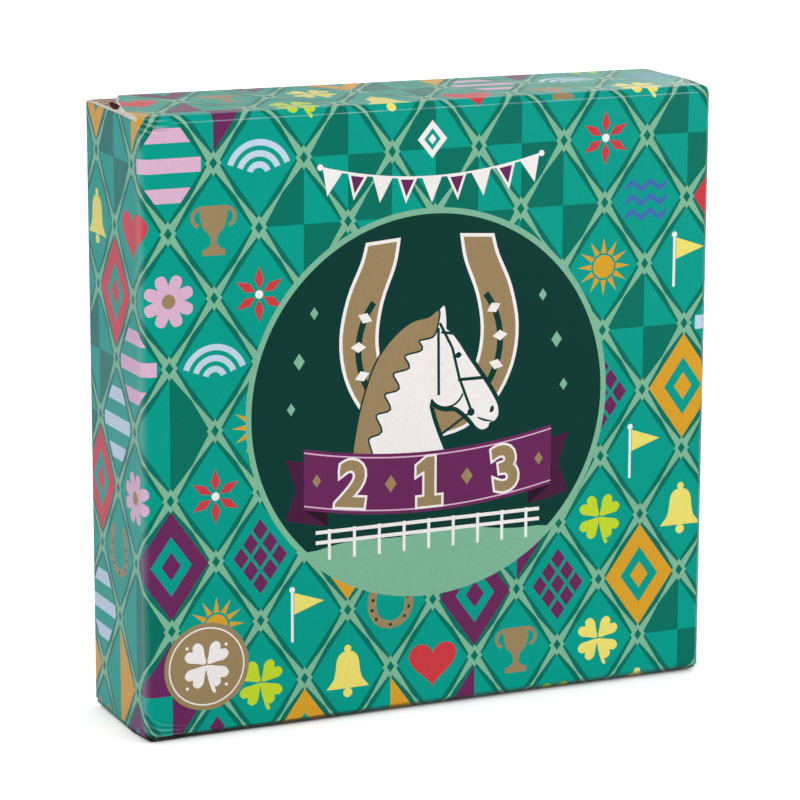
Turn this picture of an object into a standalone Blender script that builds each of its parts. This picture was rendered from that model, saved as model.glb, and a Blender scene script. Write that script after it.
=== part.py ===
"""A boxed horse racing party game, standing upright on one edge of its carton.

The carton is a full-depth lid of folded, printed corrugated board over a base
tray of the same board.  Slotted board dividers make six wells in the tray.  The wells hold
four banded bundles of play notes, two pads of betting slips and a winner's
rosette.  A folded odds board, eight race cards and a stapled host guide lie
flat in front of the wells, under the lid.

X runs to the right, -Y is the printed front and Z is up.  The origin is the
middle of the box on the surface that it stands on.
"""
import math

import bmesh
import bpy
from mathutils import Matrix, Vector

# Gaps between pieces that touch
SEAT = 0.0003
SLOT_PLAY = 0.0003

# Lid, folded from one sheet of corrugated board
LID_WIDTH = 0.250
LID_HEIGHT = 0.250
LID_DEPTH = 0.058
LID_BOARD = 0.0015
LID_FOLD_RADIUS = 0.0045
FOLD_SEGMENTS = 5

# Glued corner tabs of lid and base
TAB_LENGTH = 0.022
TAB_TAPER = 0.005
TAB_SETBACK = 0.0015
GLUE_GAP = 0.0003

# Base tray, inside the lid
BASE_BOARD = 0.0015
BASE_FOLD_RADIUS = 0.0030
LID_CLEARANCE = 0.0008

# Room left between the lid and what lies flat under it
HEADROOM = 0.0062

# Dividers
DIVIDER_BOARD = 0.0015
DIVIDER_OVERHANG = 0.005
LEFT_WELL_WIDTH = 0.092
SLIP_WELL_HEIGHT = 0.110
NOTE_WELLS = 4

# Play notes and their paper bands
NOTE_END_PLAY = 0.0060
NOTE_TOP_PLAY = 0.0014
NOTE_STACK = 0.012
BAND_WIDTH = 0.022
BAND_PAPER = 0.0004

# Pads of betting slips
SLIP_PADS = 2
SLIP_SIDE_PLAY = 0.0090
SLIP_TOP_PLAY = 0.0032
SLIP_STACK = 0.008
SLIP_BACKING = 0.0010
BINDING_HEIGHT = 0.008
BINDING_PAPER = 0.0004

# Rosette
ROSETTE_SIDE_PLAY = 0.0070
ROSETTE_TOP_PLAY = 0.0065
PLEAT_INNER_RADIUS = 0.019
PLEATS = 26
PLEAT_HEIGHT = 0.0042
PLEAT_INNER_HEIGHT = 0.0012
RIBBON = 0.0005
PLEAT_SLOPE = 1.6
BADGE_RADIUS = 0.0235
BADGE_RIM = 0.0012
BADGE_DOME = 0.0018
BACKING_RADIUS = 0.021
BACKING_CARD = 0.0010
TAIL_WIDTH = 0.025
TAIL_NOTCH = 0.010
TAIL_SPREAD = math.radians(9.0)
PIN_WIRE = 0.0010
PIN_LENGTH = 0.024
PIN_BEND_RADIUS = 0.0022
PIN_CLASP = 0.0026
PIN_CLASP_DEPTH = 0.0016

# Folded odds board and its hinge tape
ODDS_PLAY = 0.0072
ODDS_BOARD = 0.0018
ODDS_CORNER = 0.004
TAPE_WIDTH = 0.014
TAPE_CLOTH = 0.0004

# Race cards
RACE_CARDS = 8
CARD_WIDTH = 0.148
CARD_TOP_PLAY = 0.0288
CARD_THICKNESS = 0.0006
CARD_CORNER = 0.004

# Stapled host guide
GUIDE_WIDTH = 0.210
GUIDE_TOP_PLAY = 0.0252
GUIDE_COVER = 0.0004
GUIDE_PAGES = 0.0020
STAPLE_WIRE = 0.0006
STAPLE_CROWN = 0.012
STAPLE_LEG = 0.0045
STAPLE_SPREAD = 0.105

# Places worked out from the sizes above
LID_FRONT = -LID_DEPTH / 2
LID_INSIDE = LID_FRONT + LID_BOARD
LID_BACK = LID_DEPTH / 2
LID_MIDDLE = LID_HEIGHT / 2
LID_TAB_STACK = 2 * LID_BOARD + GLUE_GAP

BASE_WIDTH = LID_WIDTH - 2 * LID_BOARD - 2 * LID_CLEARANCE
BASE_HEIGHT = LID_HEIGHT - 2 * LID_TAB_STACK - 2 * LID_CLEARANCE
FOLD_INSIDE = max(LID_FOLD_RADIUS - LID_BOARD, LID_CLEARANCE)
FOLD_DROP = FOLD_INSIDE - math.sqrt(FOLD_INSIDE ** 2 - (FOLD_INSIDE - LID_CLEARANCE) ** 2)
BASE_DEPTH = LID_DEPTH - LID_BOARD - FOLD_DROP - SEAT
BASE_BOTTOM = LID_TAB_STACK + SEAT
BASE_MIDDLE = BASE_BOTTOM + BASE_HEIGHT / 2
BASE_TAB_STACK = 2 * BASE_BOARD + GLUE_GAP

WELL_FLOOR = LID_BACK - BASE_BOARD
WELL_LEFT = -BASE_WIDTH / 2 + BASE_BOARD
WELL_RIGHT = -WELL_LEFT
WALL_FLOOR = BASE_BOTTOM + BASE_BOARD
WALL_CEILING = BASE_BOTTOM + BASE_HEIGHT - BASE_BOARD
TAB_FLOOR = BASE_BOTTOM + BASE_TAB_STACK
TAB_CEILING = BASE_BOTTOM + BASE_HEIGHT - BASE_TAB_STACK

# The flat pieces, counted from the lid inwards
GUIDE_HEIGHT = TAB_CEILING - TAB_FLOOR - GUIDE_TOP_PLAY
GUIDE_THICKNESS = GUIDE_PAGES + 2 * (GUIDE_COVER + SEAT)
GUIDE_BACK = LID_INSIDE + HEADROOM + GUIDE_THICKNESS
CARD_HEIGHT = WALL_CEILING - WALL_FLOOR - CARD_TOP_PLAY
CARD_PITCH = CARD_THICKNESS + SEAT
CARDS_BACK = GUIDE_BACK + RACE_CARDS * CARD_PITCH
ODDS_WIDTH = WELL_RIGHT - WELL_LEFT - 2 * ODDS_PLAY
ODDS_HEIGHT = TAB_CEILING - TAB_FLOOR - ODDS_PLAY
ODDS_THICKNESS = 2 * ODDS_BOARD + SEAT + 2 * (TAPE_CLOTH + SEAT)
ODDS_BACK = CARDS_BACK + SEAT + ODDS_THICKNESS

# The wells, from the odds board to the bottom of the tray
DIVIDER_FRONT = ODDS_BACK + SEAT
DIVIDER_BACK = WELL_FLOOR - SEAT
DIVIDER_DEPTH = DIVIDER_BACK - DIVIDER_FRONT
UPRIGHT_X = WELL_LEFT + LEFT_WELL_WIDTH + DIVIDER_BOARD / 2
NOTE_WELL_HEIGHT = (WALL_CEILING - WALL_FLOOR - (NOTE_WELLS - 1) * DIVIDER_BOARD) / NOTE_WELLS
SLIP_DIVIDER_Z = WALL_FLOOR + SLIP_WELL_HEIGHT + DIVIDER_BOARD / 2

# The pieces in the wells
BAND_SKIN = BAND_PAPER + SEAT
NOTE_LENGTH = WELL_RIGHT - UPRIGHT_X - DIVIDER_OVERHANG - SEAT - NOTE_END_PLAY
NOTE_WIDTH = NOTE_WELL_HEIGHT - (TAB_FLOOR - WALL_FLOOR) - 2 * BAND_SKIN - NOTE_TOP_PLAY
SLIP_WIDTH = LEFT_WELL_WIDTH - 2 * SLIP_SIDE_PLAY
SLIP_HEIGHT = SLIP_WELL_HEIGHT - (TAB_FLOOR - WALL_FLOOR) - SLIP_TOP_PLAY
ROSETTE_RADIUS = (LEFT_WELL_WIDTH - DIVIDER_OVERHANG - ROSETTE_SIDE_PLAY) / 2
ROSETTE_FLOOR = SLIP_DIVIDER_Z + DIVIDER_BOARD / 2 + SEAT
TAIL_DROP = TAB_CEILING - ROSETTE_FLOOR - ROSETTE_RADIUS - ROSETTE_TOP_PLAY
TAIL_REACH = (TAIL_DROP - TAIL_WIDTH / 2 * math.sin(TAIL_SPREAD)) / math.cos(TAIL_SPREAD)

# Colours, roughness and metallic values
PRINT_GREEN = ((0.000, 0.325, 0.255), 0.35, 0.0)
WHITE_BOARD = ((0.860, 0.850, 0.820), 0.60, 0.0)
GREY_BOARD = ((0.420, 0.400, 0.370), 0.75, 0.0)
NOTE_COLOURS = (
    ((0.300, 0.560, 0.420), 0.60, 0.0),
    ((0.700, 0.480, 0.600), 0.60, 0.0),
    ((0.700, 0.560, 0.160), 0.60, 0.0),
    ((0.350, 0.500, 0.720), 0.60, 0.0),
)
BAND_PAPER_LOOK = ((0.800, 0.790, 0.750), 0.65, 0.0)
SLIP_PAPER = ((0.850, 0.830, 0.760), 0.65, 0.0)
BINDING_CLOTH = ((0.150, 0.030, 0.100), 0.70, 0.0)
RIBBON_PURPLE = ((0.150, 0.020, 0.100), 0.45, 0.0)
RIBBON_CREAM = ((0.800, 0.760, 0.650), 0.45, 0.0)
BADGE_BRONZE = ((0.350, 0.230, 0.110), 0.40, 0.0)
STEEL = ((0.620, 0.620, 0.620), 0.30, 1.0)
ODDS_GREEN = ((0.010, 0.070, 0.055), 0.40, 0.0)
TAPE_BLACK = ((0.020, 0.022, 0.025), 0.60, 0.0)
CARD_CREAM = ((0.820, 0.800, 0.700), 0.45, 0.0)
GUIDE_GREEN = ((0.020, 0.280, 0.230), 0.35, 0.0)
PAGE_WHITE = ((0.850, 0.850, 0.830), 0.65, 0.0)


def clear_scene():
    """Empties the scene and leaves the two collections."""
    for old in list(bpy.data.objects):
        bpy.data.objects.remove(old, do_unlink=True)
    collections = []
    for title in ("horse_racing_game", "cutters"):
        group = bpy.data.collections.new(title)
        bpy.context.scene.collection.children.link(group)
        collections.append(group)
    return collections


PARTS, CUTTERS = clear_scene()


def finish_of(name, look):
    """A Principled material with the piece's own colour, roughness and metal."""
    colour, roughness, metallic = look
    material = bpy.data.materials.new(name)
    material.use_nodes = True
    shader = material.node_tree.nodes["Principled BSDF"]
    shader.inputs["Base Color"].default_value = (*colour, 1.0)
    shader.inputs["Roughness"].default_value = roughness
    shader.inputs["Metallic"].default_value = metallic
    material.diffuse_color = (*colour, 1.0)
    return material


def object_from(name, mesh_data, place=(0.0, 0.0, 0.0), look=None):
    """Wraps a bmesh as an object: a part with its finish, or a cutter."""
    mesh = bpy.data.meshes.new(name)
    mesh_data.to_mesh(mesh)
    mesh_data.free()
    obj = bpy.data.objects.new(name, mesh)
    obj.location = place
    if look is None:
        CUTTERS.objects.link(obj)
        obj.hide_render = True
        obj.display_type = "WIRE"
    else:
        PARTS.objects.link(obj)
        mesh.materials.append(finish_of(name, look))
    return obj


def slab(size, corner=0.0, segments=3):
    """A box, with round corners seen from the front where corner is given."""
    data = bmesh.new()
    bmesh.ops.create_cube(data, size=1.0)
    bmesh.ops.scale(data, vec=size, verts=data.verts)
    if corner:
        edges = [edge for edge in data.edges
                 if abs(edge.verts[0].co.y - edge.verts[1].co.y) > size[1] / 2]
        bmesh.ops.bevel(data, geom=edges, offset=corner, segments=segments,
                        affect="EDGES", profile=0.5)
    return data


def boolean(target, operation, tool):
    """Adds an exact Boolean modifier."""
    modifier = target.modifiers.new(operation.lower() + "_" + tool.name, "BOOLEAN")
    modifier.operation = operation
    modifier.solver = "EXACT"
    modifier.object = tool
    return modifier


def solidify(target, thickness, offset):
    """Gives a folded surface its board or paper thickness."""
    modifier = target.modifiers.new("thickness", "SOLIDIFY")
    modifier.thickness = thickness
    modifier.offset = offset
    modifier.use_even_offset = True
    return modifier


def arc(centre, radius, start, end, steps):
    """Points along an arc, as (u, v) pairs."""
    turn = (end - start) / steps
    return [(centre[0] + radius * math.cos(start + turn * i),
             centre[1] + radius * math.sin(start + turn * i)) for i in range(steps + 1)]


def folded_sheet(points, width, axis, closed=False):
    """A sheet that follows an outline and runs straight along the axis given."""
    frames = {"X": lambda u, v, w: (w, u, v), "Z": lambda u, v, w: (u, v, w)}
    place = frames[axis]
    data = bmesh.new()
    row = [data.verts.new(place(u, v, -width / 2)) for u, v in points]
    edges = [data.edges.new((a, b)) for a, b in zip(row, row[1:])]
    if closed:
        edges.append(data.edges.new((row[-1], row[0])))
    swept = bmesh.ops.extrude_edge_only(data, edges=edges)
    moved = [item for item in swept["geom"] if isinstance(item, bmesh.types.BMVert)]
    bmesh.ops.translate(data, vec=place(0.0, 0.0, width), verts=moved)
    bmesh.ops.recalc_face_normals(data, faces=data.faces)
    return data


def open_tray(width, depth, height, radius, mouth):
    """The outer skin of a tray: one side open, soft folds round the panel."""
    data = bmesh.new()
    bmesh.ops.create_cube(data, size=1.0)
    bmesh.ops.scale(data, vec=(width, depth, height), verts=data.verts)
    open_face = [face for face in data.faces if face.normal.y * mouth > 0.5]
    bmesh.ops.delete(data, geom=open_face, context="FACES_ONLY")
    panel = [face for face in data.faces if face.normal.y * mouth < -0.5][0]
    bmesh.ops.bevel(data, geom=list(panel.edges), offset=radius, segments=FOLD_SEGMENTS,
                    affect="EDGES", profile=0.5)
    return data


def glue_tab(name, reach, span, board, root):
    """A tapered corner tab, as thick as its board, pointing along +X.

    Its first stretch, the root, is sunk in the wall that it is folded from.
    """
    curve = bpy.data.curves.new(name, "CURVE")
    curve.dimensions = "2D"
    curve.fill_mode = "BOTH"
    curve.extrude = board / 2
    spline = curve.splines.new("POLY")
    outline = [(-root, -span / 2), (0.0, -span / 2), (reach, -span / 2 + TAB_TAPER),
               (reach, span / 2 - TAB_TAPER), (0.0, span / 2), (-root, span / 2)]
    spline.points.add(len(outline) - 1)
    for point, (u, v) in zip(spline.points, outline):
        point.co = (u, v, 0.0, 1.0)
    spline.use_cyclic_u = True
    flat = bpy.data.objects.new(name, curve)
    CUTTERS.objects.link(flat)
    return mesh_from_curve(flat)


def mesh_from_curve(flat, look=None):
    """Turns a curve object into a mesh object with its caps welded."""
    bpy.context.view_layer.update()
    shape = flat.evaluated_get(bpy.context.evaluated_depsgraph_get())
    mesh = bpy.data.meshes.new_from_object(shape)
    data = bmesh.new()
    data.from_mesh(mesh)
    bmesh.ops.remove_doubles(data, verts=data.verts, dist=0.00001)
    bmesh.ops.recalc_face_normals(data, faces=data.faces)
    name = flat.name
    matrix = flat.matrix_world.copy()
    bpy.data.objects.remove(flat, do_unlink=True)
    bpy.data.meshes.remove(mesh)
    obj = object_from(name, data, look=look)
    obj.matrix_world = matrix
    return obj


def folded_tray(name, width, depth, height, centre, board, radius, mouth, look):
    """A tray folded from one blank, with butted corners and glued tabs.

    mouth is the side that is open, +1 for +Y and -1 for -Y.  The side walls
    carry the tabs, which lie inside the top and bottom walls.  A seam as wide
    as the glue gap runs along each corner from the fold to the rim.
    """
    tray = object_from(name, open_tray(width, depth, height, radius, mouth), centre, look)
    solidify(tray, board, -1.0)
    span = depth - radius - TAB_SETBACK - board
    middle = centre[1] + mouth * (depth / 2 - TAB_SETBACK - span / 2)
    seam_start = mouth * (depth / 2 - radius)
    seam_end = mouth * (depth / 2 + board)
    for side in (-1, 1):
        for level in (-1, 1):
            tag = name + "_" + ("left" if side < 0 else "right") + ("_low" if level < 0 else "_high")
            tab = glue_tab(tag + "_tab", TAB_LENGTH, span, board, board / 2)
            wall = centre[0] + side * (width / 2 - board)
            height_of_tab = centre[2] + level * (height / 2 - 1.5 * board - GLUE_GAP)
            tab.matrix_world = (Matrix.Translation((wall, middle, height_of_tab))
                                @ Matrix.Diagonal((-side, 1.0, 1.0, 1.0)))
            if side > 0:
                tab.data.flip_normals()
            seam_size = (TAB_LENGTH + 3 * board, abs(seam_end - seam_start), GLUE_GAP)
            seam_place = (centre[0] + side * (width / 2 + board - seam_size[0] / 2),
                          centre[1] + (seam_start + seam_end) / 2,
                          centre[2] + level * (height / 2 - board - GLUE_GAP / 2))
            seam = object_from(tag + "_seam", slab(seam_size), seam_place)
            boolean(tray, "UNION", tab)
            boolean(tray, "DIFFERENCE", seam)
    return tray


def make_lid():
    """The printed lid, open towards +Y."""
    folded_tray("lid", LID_WIDTH, LID_DEPTH, LID_HEIGHT, (0.0, 0.0, LID_MIDDLE),
                LID_BOARD, LID_FOLD_RADIUS, 1, PRINT_GREEN)


def make_base():
    """The base tray, open towards -Y and inside the lid."""
    centre = (0.0, LID_BACK - BASE_DEPTH / 2, BASE_MIDDLE)
    folded_tray("base_tray", BASE_WIDTH, BASE_DEPTH, BASE_HEIGHT, centre,
                BASE_BOARD, BASE_FOLD_RADIUS, -1, PRINT_GREEN)


def note_divider_z(index):
    """Height of the divider on top of a note well, counted from the bottom."""
    return WALL_FLOOR + (index + 1) * NOTE_WELL_HEIGHT + (index + 0.5) * DIVIDER_BOARD


def divider_slab(size, run, ends):
    """A divider board whose back corners clear the folds of the tray.

    run is the axis, 0 for X or 2 for Z, that the board runs along, and ends
    are the signs of its ends that meet a wall.
    """
    data = slab(size)
    corners = [edge for edge in data.edges for end in ends
               if all(vert.co.y > 0.0 and vert.co[run] * end > 0.0 for vert in edge.verts)]
    bmesh.ops.bevel(data, geom=corners, offset=BASE_FOLD_RADIUS - BASE_BOARD, segments=1,
                    affect="EDGES", profile=0.5)
    return data


def make_dividers():
    """One upright divider and four cross dividers, halved where they meet."""
    middle_y = (DIVIDER_BACK + DIVIDER_FRONT) / 2
    slot = DIVIDER_BOARD + 2 * SLOT_PLAY
    half = DIVIDER_DEPTH / 2
    upright_height = WALL_CEILING - WALL_FLOOR - 2 * SEAT
    upright = object_from("divider_upright",
                          divider_slab((DIVIDER_BOARD, DIVIDER_DEPTH, upright_height), 2, (-1, 1)),
                          (UPRIGHT_X, middle_y, (WALL_CEILING + WALL_FLOOR) / 2), WHITE_BOARD)
    crossings = [("divider_note_%d" % (i + 1), note_divider_z(i), UPRIGHT_X - DIVIDER_OVERHANG,
                  WELL_RIGHT - SEAT, 1) for i in range(NOTE_WELLS - 1)]
    crossings.append(("divider_slip", SLIP_DIVIDER_Z, WELL_LEFT + SEAT,
                      UPRIGHT_X + DIVIDER_OVERHANG, -1))
    for name, level, left, right, end in crossings:
        cross = object_from(name,
                            divider_slab((right - left, DIVIDER_DEPTH, DIVIDER_BOARD), 0, (end,)),
                            ((left + right) / 2, middle_y, level), WHITE_BOARD)
        back_slot = object_from(name + "_slot", slab((slot, half + SEAT, 4 * DIVIDER_BOARD)),
                                (UPRIGHT_X, DIVIDER_BACK - (half - SEAT) / 2, level))
        boolean(cross, "DIFFERENCE", back_slot)
        front_slot = object_from("upright_slot_" + name,
                                 slab((4 * DIVIDER_BOARD, half + SEAT, slot)),
                                 (UPRIGHT_X, DIVIDER_FRONT + (half - SEAT) / 2, level))
        boolean(upright, "DIFFERENCE", front_slot)


def note_bundle(index):
    """A bundle of play notes with a paper band round its middle."""
    well_bottom = WALL_FLOOR if index == 0 else note_divider_z(index - 1) + DIVIDER_BOARD / 2
    if index == 0:
        well_bottom = TAB_FLOOR
    centre = Vector((WELL_RIGHT - SEAT - NOTE_LENGTH / 2,
                     WELL_FLOOR - SEAT - BAND_SKIN - NOTE_STACK / 2,
                     well_bottom + SEAT + BAND_SKIN + NOTE_WIDTH / 2))
    object_from("notes_%d" % (index + 1), slab((NOTE_LENGTH, NOTE_STACK, NOTE_WIDTH)),
                centre, NOTE_COLOURS[index % len(NOTE_COLOURS)])
    u = NOTE_STACK / 2 + SEAT
    v = NOTE_WIDTH / 2 + SEAT
    loop = [(-u, -v), (u, -v), (u, v), (-u, v)]
    band = object_from("note_band_%d" % (index + 1), folded_sheet(loop, BAND_WIDTH, "X", True),
                       centre, BAND_PAPER_LOOK)
    solidify(band, BAND_PAPER, 1.0)


def slip_pad(index):
    """A pad of betting slips: sheets on a backing card, bound along the top."""
    cloth = BINDING_PAPER + SEAT
    pad_depth = SLIP_STACK + SLIP_BACKING + SEAT + 2 * cloth
    back = WELL_FLOOR - SEAT - index * (pad_depth + SEAT)
    x = (WELL_LEFT + UPRIGHT_X - DIVIDER_BOARD / 2) / 2
    z = TAB_FLOOR + SEAT + SLIP_HEIGHT / 2
    number = index + 1
    card_y = back - cloth - SLIP_BACKING / 2
    object_from("slip_backing_%d" % number, slab((SLIP_WIDTH, SLIP_BACKING, SLIP_HEIGHT)),
                (x, card_y, z), GREY_BOARD)
    sheets_y = back - cloth - SLIP_BACKING - SEAT - SLIP_STACK / 2
    object_from("slip_sheets_%d" % number, slab((SLIP_WIDTH, SLIP_STACK, SLIP_HEIGHT)),
                (x, sheets_y, z), SLIP_PAPER)
    top = SLIP_HEIGHT / 2 + SEAT
    half = (pad_depth - 2 * cloth) / 2 + SEAT
    strip = [(-half, top - BINDING_HEIGHT), (-half, top), (half, top), (half, top - BINDING_HEIGHT)]
    binding = object_from("slip_binding_%d" % number, folded_sheet(strip, SLIP_WIDTH, "X"),
                          (x, back - pad_depth / 2, z), BINDING_CLOTH)
    outward(binding, Vector((0.0, 0.0, 1.0)))
    solidify(binding, BINDING_PAPER, 1.0)


def outward(obj, direction):
    """Turns a folded strip's normals so that its fold faces the direction."""
    data = bmesh.new()
    data.from_mesh(obj.data)
    data.normal_update()
    leaning = sum(face.normal.dot(direction) * face.calc_area() for face in data.faces)
    if leaning < 0.0:
        bmesh.ops.reverse_faces(data, faces=data.faces)
    data.to_mesh(obj.data)
    data.free()


def pleat_ring():
    """Radial knife pleats of a gathered ribbon, deep outside, shallow inside."""
    data = bmesh.new()
    rings = []
    for radius, height in ((PLEAT_INNER_RADIUS, PLEAT_INNER_HEIGHT), (ROSETTE_RADIUS, PLEAT_HEIGHT)):
        ring = []
        for step in range(2 * PLEATS):
            angle = math.pi * step / PLEATS
            lift = height / 2 if step % 2 else -height / 2
            point = (radius * math.cos(angle), lift, radius * math.sin(angle))
            ring.append(data.verts.new(point))
        rings.append([data.edges.new((a, b)) for a, b in zip(ring, ring[1:] + ring[:1])])
    bmesh.ops.bridge_loops(data, edges=rings[0] + rings[1])
    bmesh.ops.recalc_face_normals(data, faces=data.faces)
    return data


def turned(name, profile, steps, place, look):
    """A profile of (radius, height) points, turned and laid to face the front."""
    data = bmesh.new()
    row = [data.verts.new((radius, 0.0, height)) for radius, height in profile]
    for a, b in zip(row, row[1:]):
        data.edges.new((a, b))
    obj = object_from(name, data, place, look)
    obj.rotation_euler = (math.pi / 2, 0.0, 0.0)
    screw = obj.modifiers.new("turn", "SCREW")
    screw.axis = "Z"
    screw.steps = steps
    screw.render_steps = steps
    screw.use_merge_vertices = True
    screw.merge_threshold = 0.00001
    return obj


def ribbon_tail(name, lean, y, top):
    """A flat ribbon with a swallow-tail end, leaning from straight down."""
    curve = bpy.data.curves.new(name, "CURVE")
    curve.dimensions = "2D"
    curve.fill_mode = "BOTH"
    curve.extrude = RIBBON / 2
    half = TAIL_WIDTH / 2
    spline = curve.splines.new("POLY")
    outline = [(-half, -PLEAT_INNER_RADIUS / 2), (half, -PLEAT_INNER_RADIUS / 2),
               (half, -TAIL_REACH), (0.0, -TAIL_REACH + TAIL_NOTCH), (-half, -TAIL_REACH)]
    spline.points.add(len(outline) - 1)
    for point, (u, v) in zip(spline.points, outline):
        point.co = (u, v, 0.0, 1.0)
    spline.use_cyclic_u = True
    flat = bpy.data.objects.new(name, curve)
    PARTS.objects.link(flat)
    flat.matrix_world = (Matrix.Translation((top[0], y, top[1]))
                         @ Matrix.Rotation(lean, 4, "Y") @ Matrix.Rotation(math.pi / 2, 4, "X"))
    return mesh_from_curve(flat, RIBBON_PURPLE if lean < 0 else RIBBON_CREAM)


def rosette_pin(x, y, z):
    """A bent wire pin with a folded clasp at its open end."""
    half = PIN_LENGTH / 2
    bend = arc((half, 0.0), PIN_BEND_RADIUS, -math.pi / 2, math.pi / 2, 8)
    outline = [(-half, -PIN_BEND_RADIUS)] + bend + [(-half, PIN_BEND_RADIUS)]
    pin = wire("rosette_pin", [(u, 0.0, v) for u, v in outline], PIN_WIRE, (x, y, z), STEEL)
    clasp_size = (PIN_CLASP, PIN_CLASP_DEPTH, 2 * PIN_BEND_RADIUS + 2 * PIN_WIRE)
    clasp = object_from("rosette_pin_clasp", slab(clasp_size), (x - half, y, z))
    boolean(pin, "UNION", clasp)


def make_rosette():
    """The winner's rosette, face to the front, standing on its tails."""
    x = WELL_LEFT + ROSETTE_RADIUS + RIBBON + SEAT
    z = ROSETTE_FLOOR + TAIL_DROP
    pin_y = WELL_FLOOR - SEAT - PIN_CLASP_DEPTH / 2
    rosette_pin(x, pin_y, z)
    backing_back = pin_y - PIN_CLASP_DEPTH / 2 - SEAT
    backing = [(0.0, BACKING_CARD), (BACKING_RADIUS, BACKING_CARD), (BACKING_RADIUS, 0.0),
               (0.0, 0.0)]
    turned("rosette_backing", backing, 32, (x, backing_back, z), GREY_BOARD)
    tail_y = backing_back - BACKING_CARD - SEAT - RIBBON / 2
    for index, lean in enumerate((TAIL_SPREAD, -TAIL_SPREAD)):
        ribbon_tail("rosette_tail_%d" % (index + 1), lean, tail_y, (x, z))
        tail_y -= RIBBON + SEAT
    ring_thickness = PLEAT_SLOPE * RIBBON
    ring_y = tail_y + RIBBON / 2 - ring_thickness / 2 - PLEAT_HEIGHT / 2
    ring = object_from("rosette_pleats", pleat_ring(), (x, ring_y, z), RIBBON_PURPLE)
    solidify(ring, RIBBON, 0.0)
    rise = (PLEAT_HEIGHT - PLEAT_INNER_HEIGHT) / (ROSETTE_RADIUS - PLEAT_INNER_RADIUS)
    seat_height = PLEAT_INNER_HEIGHT + rise * (BADGE_RADIUS - PLEAT_INNER_RADIUS)
    badge_back = ring_y - seat_height / 2 - ring_thickness / 2 - SEAT
    dome_radius = (BADGE_RADIUS ** 2 + BADGE_DOME ** 2) / (2 * BADGE_DOME)
    edge_angle = math.asin(BADGE_RADIUS / dome_radius)
    dome_centre = (0.0, BADGE_RIM + BADGE_DOME - dome_radius)
    dome = arc(dome_centre, dome_radius, math.pi / 2, math.pi / 2 - edge_angle, 4)
    profile = [(0.0, BADGE_RIM + BADGE_DOME)] + dome[1:] + [(BADGE_RADIUS, 0.0), (0.0, 0.0)]
    turned("rosette_badge", profile, 32, (x, badge_back, z), BADGE_BRONZE)


def make_odds_board():
    """Two stiff leaves, folded face to face and hinged with cloth tape."""
    skin = TAPE_CLOTH + SEAT
    left = -ODDS_WIDTH / 2
    z = TAB_FLOOR + SEAT + ODDS_HEIGHT / 2
    leaf = (ODDS_WIDTH, ODDS_BOARD, ODDS_HEIGHT)
    back_y = ODDS_BACK - skin - ODDS_BOARD / 2
    front_y = back_y - ODDS_BOARD - SEAT
    for name, y in (("odds_leaf_back", back_y), ("odds_leaf_front", front_y)):
        object_from(name, slab(leaf, ODDS_CORNER), (0.0, y, z), ODDS_GREEN)
    half = ODDS_BOARD + 1.5 * SEAT
    strip = [(TAPE_WIDTH, -half), (-SEAT, -half), (-SEAT, half), (TAPE_WIDTH, half)]
    tape = object_from("odds_hinge_tape", folded_sheet(strip, ODDS_HEIGHT - 2 * ODDS_CORNER, "Z"),
                       (left, (back_y + front_y) / 2, z), TAPE_BLACK)
    outward(tape, Vector((-1.0, 0.0, 0.0)))
    solidify(tape, TAPE_CLOTH, 1.0)


def make_race_cards():
    """One card for each race, stacked in front of the odds board."""
    z = WALL_FLOOR + SEAT + CARD_HEIGHT / 2
    for index in range(RACE_CARDS):
        y = CARDS_BACK - CARD_THICKNESS / 2 - index * CARD_PITCH
        object_from("race_card_%d" % (index + 1),
                    slab((CARD_WIDTH, CARD_THICKNESS, CARD_HEIGHT), CARD_CORNER),
                    (0.0, y, z), CARD_CREAM)


def make_guide():
    """The host guide: a folded cover, its pages and two staples in the spine."""
    z = TAB_FLOOR + SEAT + GUIDE_HEIGHT / 2
    y = GUIDE_BACK - GUIDE_THICKNESS / 2
    radius = GUIDE_PAGES / 2 + SEAT
    spine_x = -GUIDE_WIDTH / 2 + radius
    cover_line = ([(GUIDE_WIDTH / 2, -radius)]
                  + arc((spine_x, 0.0), radius, -math.pi / 2, -3 * math.pi / 2, 6)
                  + [(GUIDE_WIDTH / 2, radius)])
    cover = object_from("guide_cover", folded_sheet(cover_line, GUIDE_HEIGHT, "Z"),
                        (0.0, y, z), GUIDE_GREEN)
    outward(cover, Vector((-1.0, 0.0, 0.0)))
    solidify(cover, GUIDE_COVER, 1.0)
    page_radius = GUIDE_PAGES / 2
    page_line = (arc((spine_x, 0.0), page_radius, math.pi / 2, 3 * math.pi / 2, 6)
                 + [(GUIDE_WIDTH / 2 - SEAT, -page_radius), (GUIDE_WIDTH / 2 - SEAT, page_radius)])
    pages = object_from("guide_pages", solid_outline(page_line, GUIDE_HEIGHT - 2 * SEAT),
                        (0.0, y, z), PAGE_WHITE)
    crown_x = spine_x - radius - GUIDE_COVER - SEAT - STAPLE_WIRE / 2
    hole = STAPLE_WIRE + 2 * SEAT
    for name, side in (("low", -1), ("high", 1)):
        level = z + side * STAPLE_SPREAD / 2
        staple("guide_staple_" + name, crown_x, y, level)
        for leg in (-1, 1):
            drill = object_from("staple_hole_%s_%d" % (name, leg + 1),
                                slab((2 * STAPLE_LEG + 4 * radius, hole, hole)),
                                (spine_x, y, level + leg * STAPLE_CROWN / 2))
            boolean(cover, "DIFFERENCE", drill)
            boolean(pages, "DIFFERENCE", drill)


def solid_outline(points, height):
    """A closed prism that stands along Z on an outline of (x, y) points."""
    data = bmesh.new()
    base = data.faces.new([data.verts.new((u, v, -height / 2)) for u, v in points])
    raised = bmesh.ops.extrude_face_region(data, geom=[base])
    top = [item for item in raised["geom"] if isinstance(item, bmesh.types.BMVert)]
    bmesh.ops.translate(data, vec=(0.0, 0.0, height), verts=top)
    bmesh.ops.recalc_face_normals(data, faces=data.faces)
    return data


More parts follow.
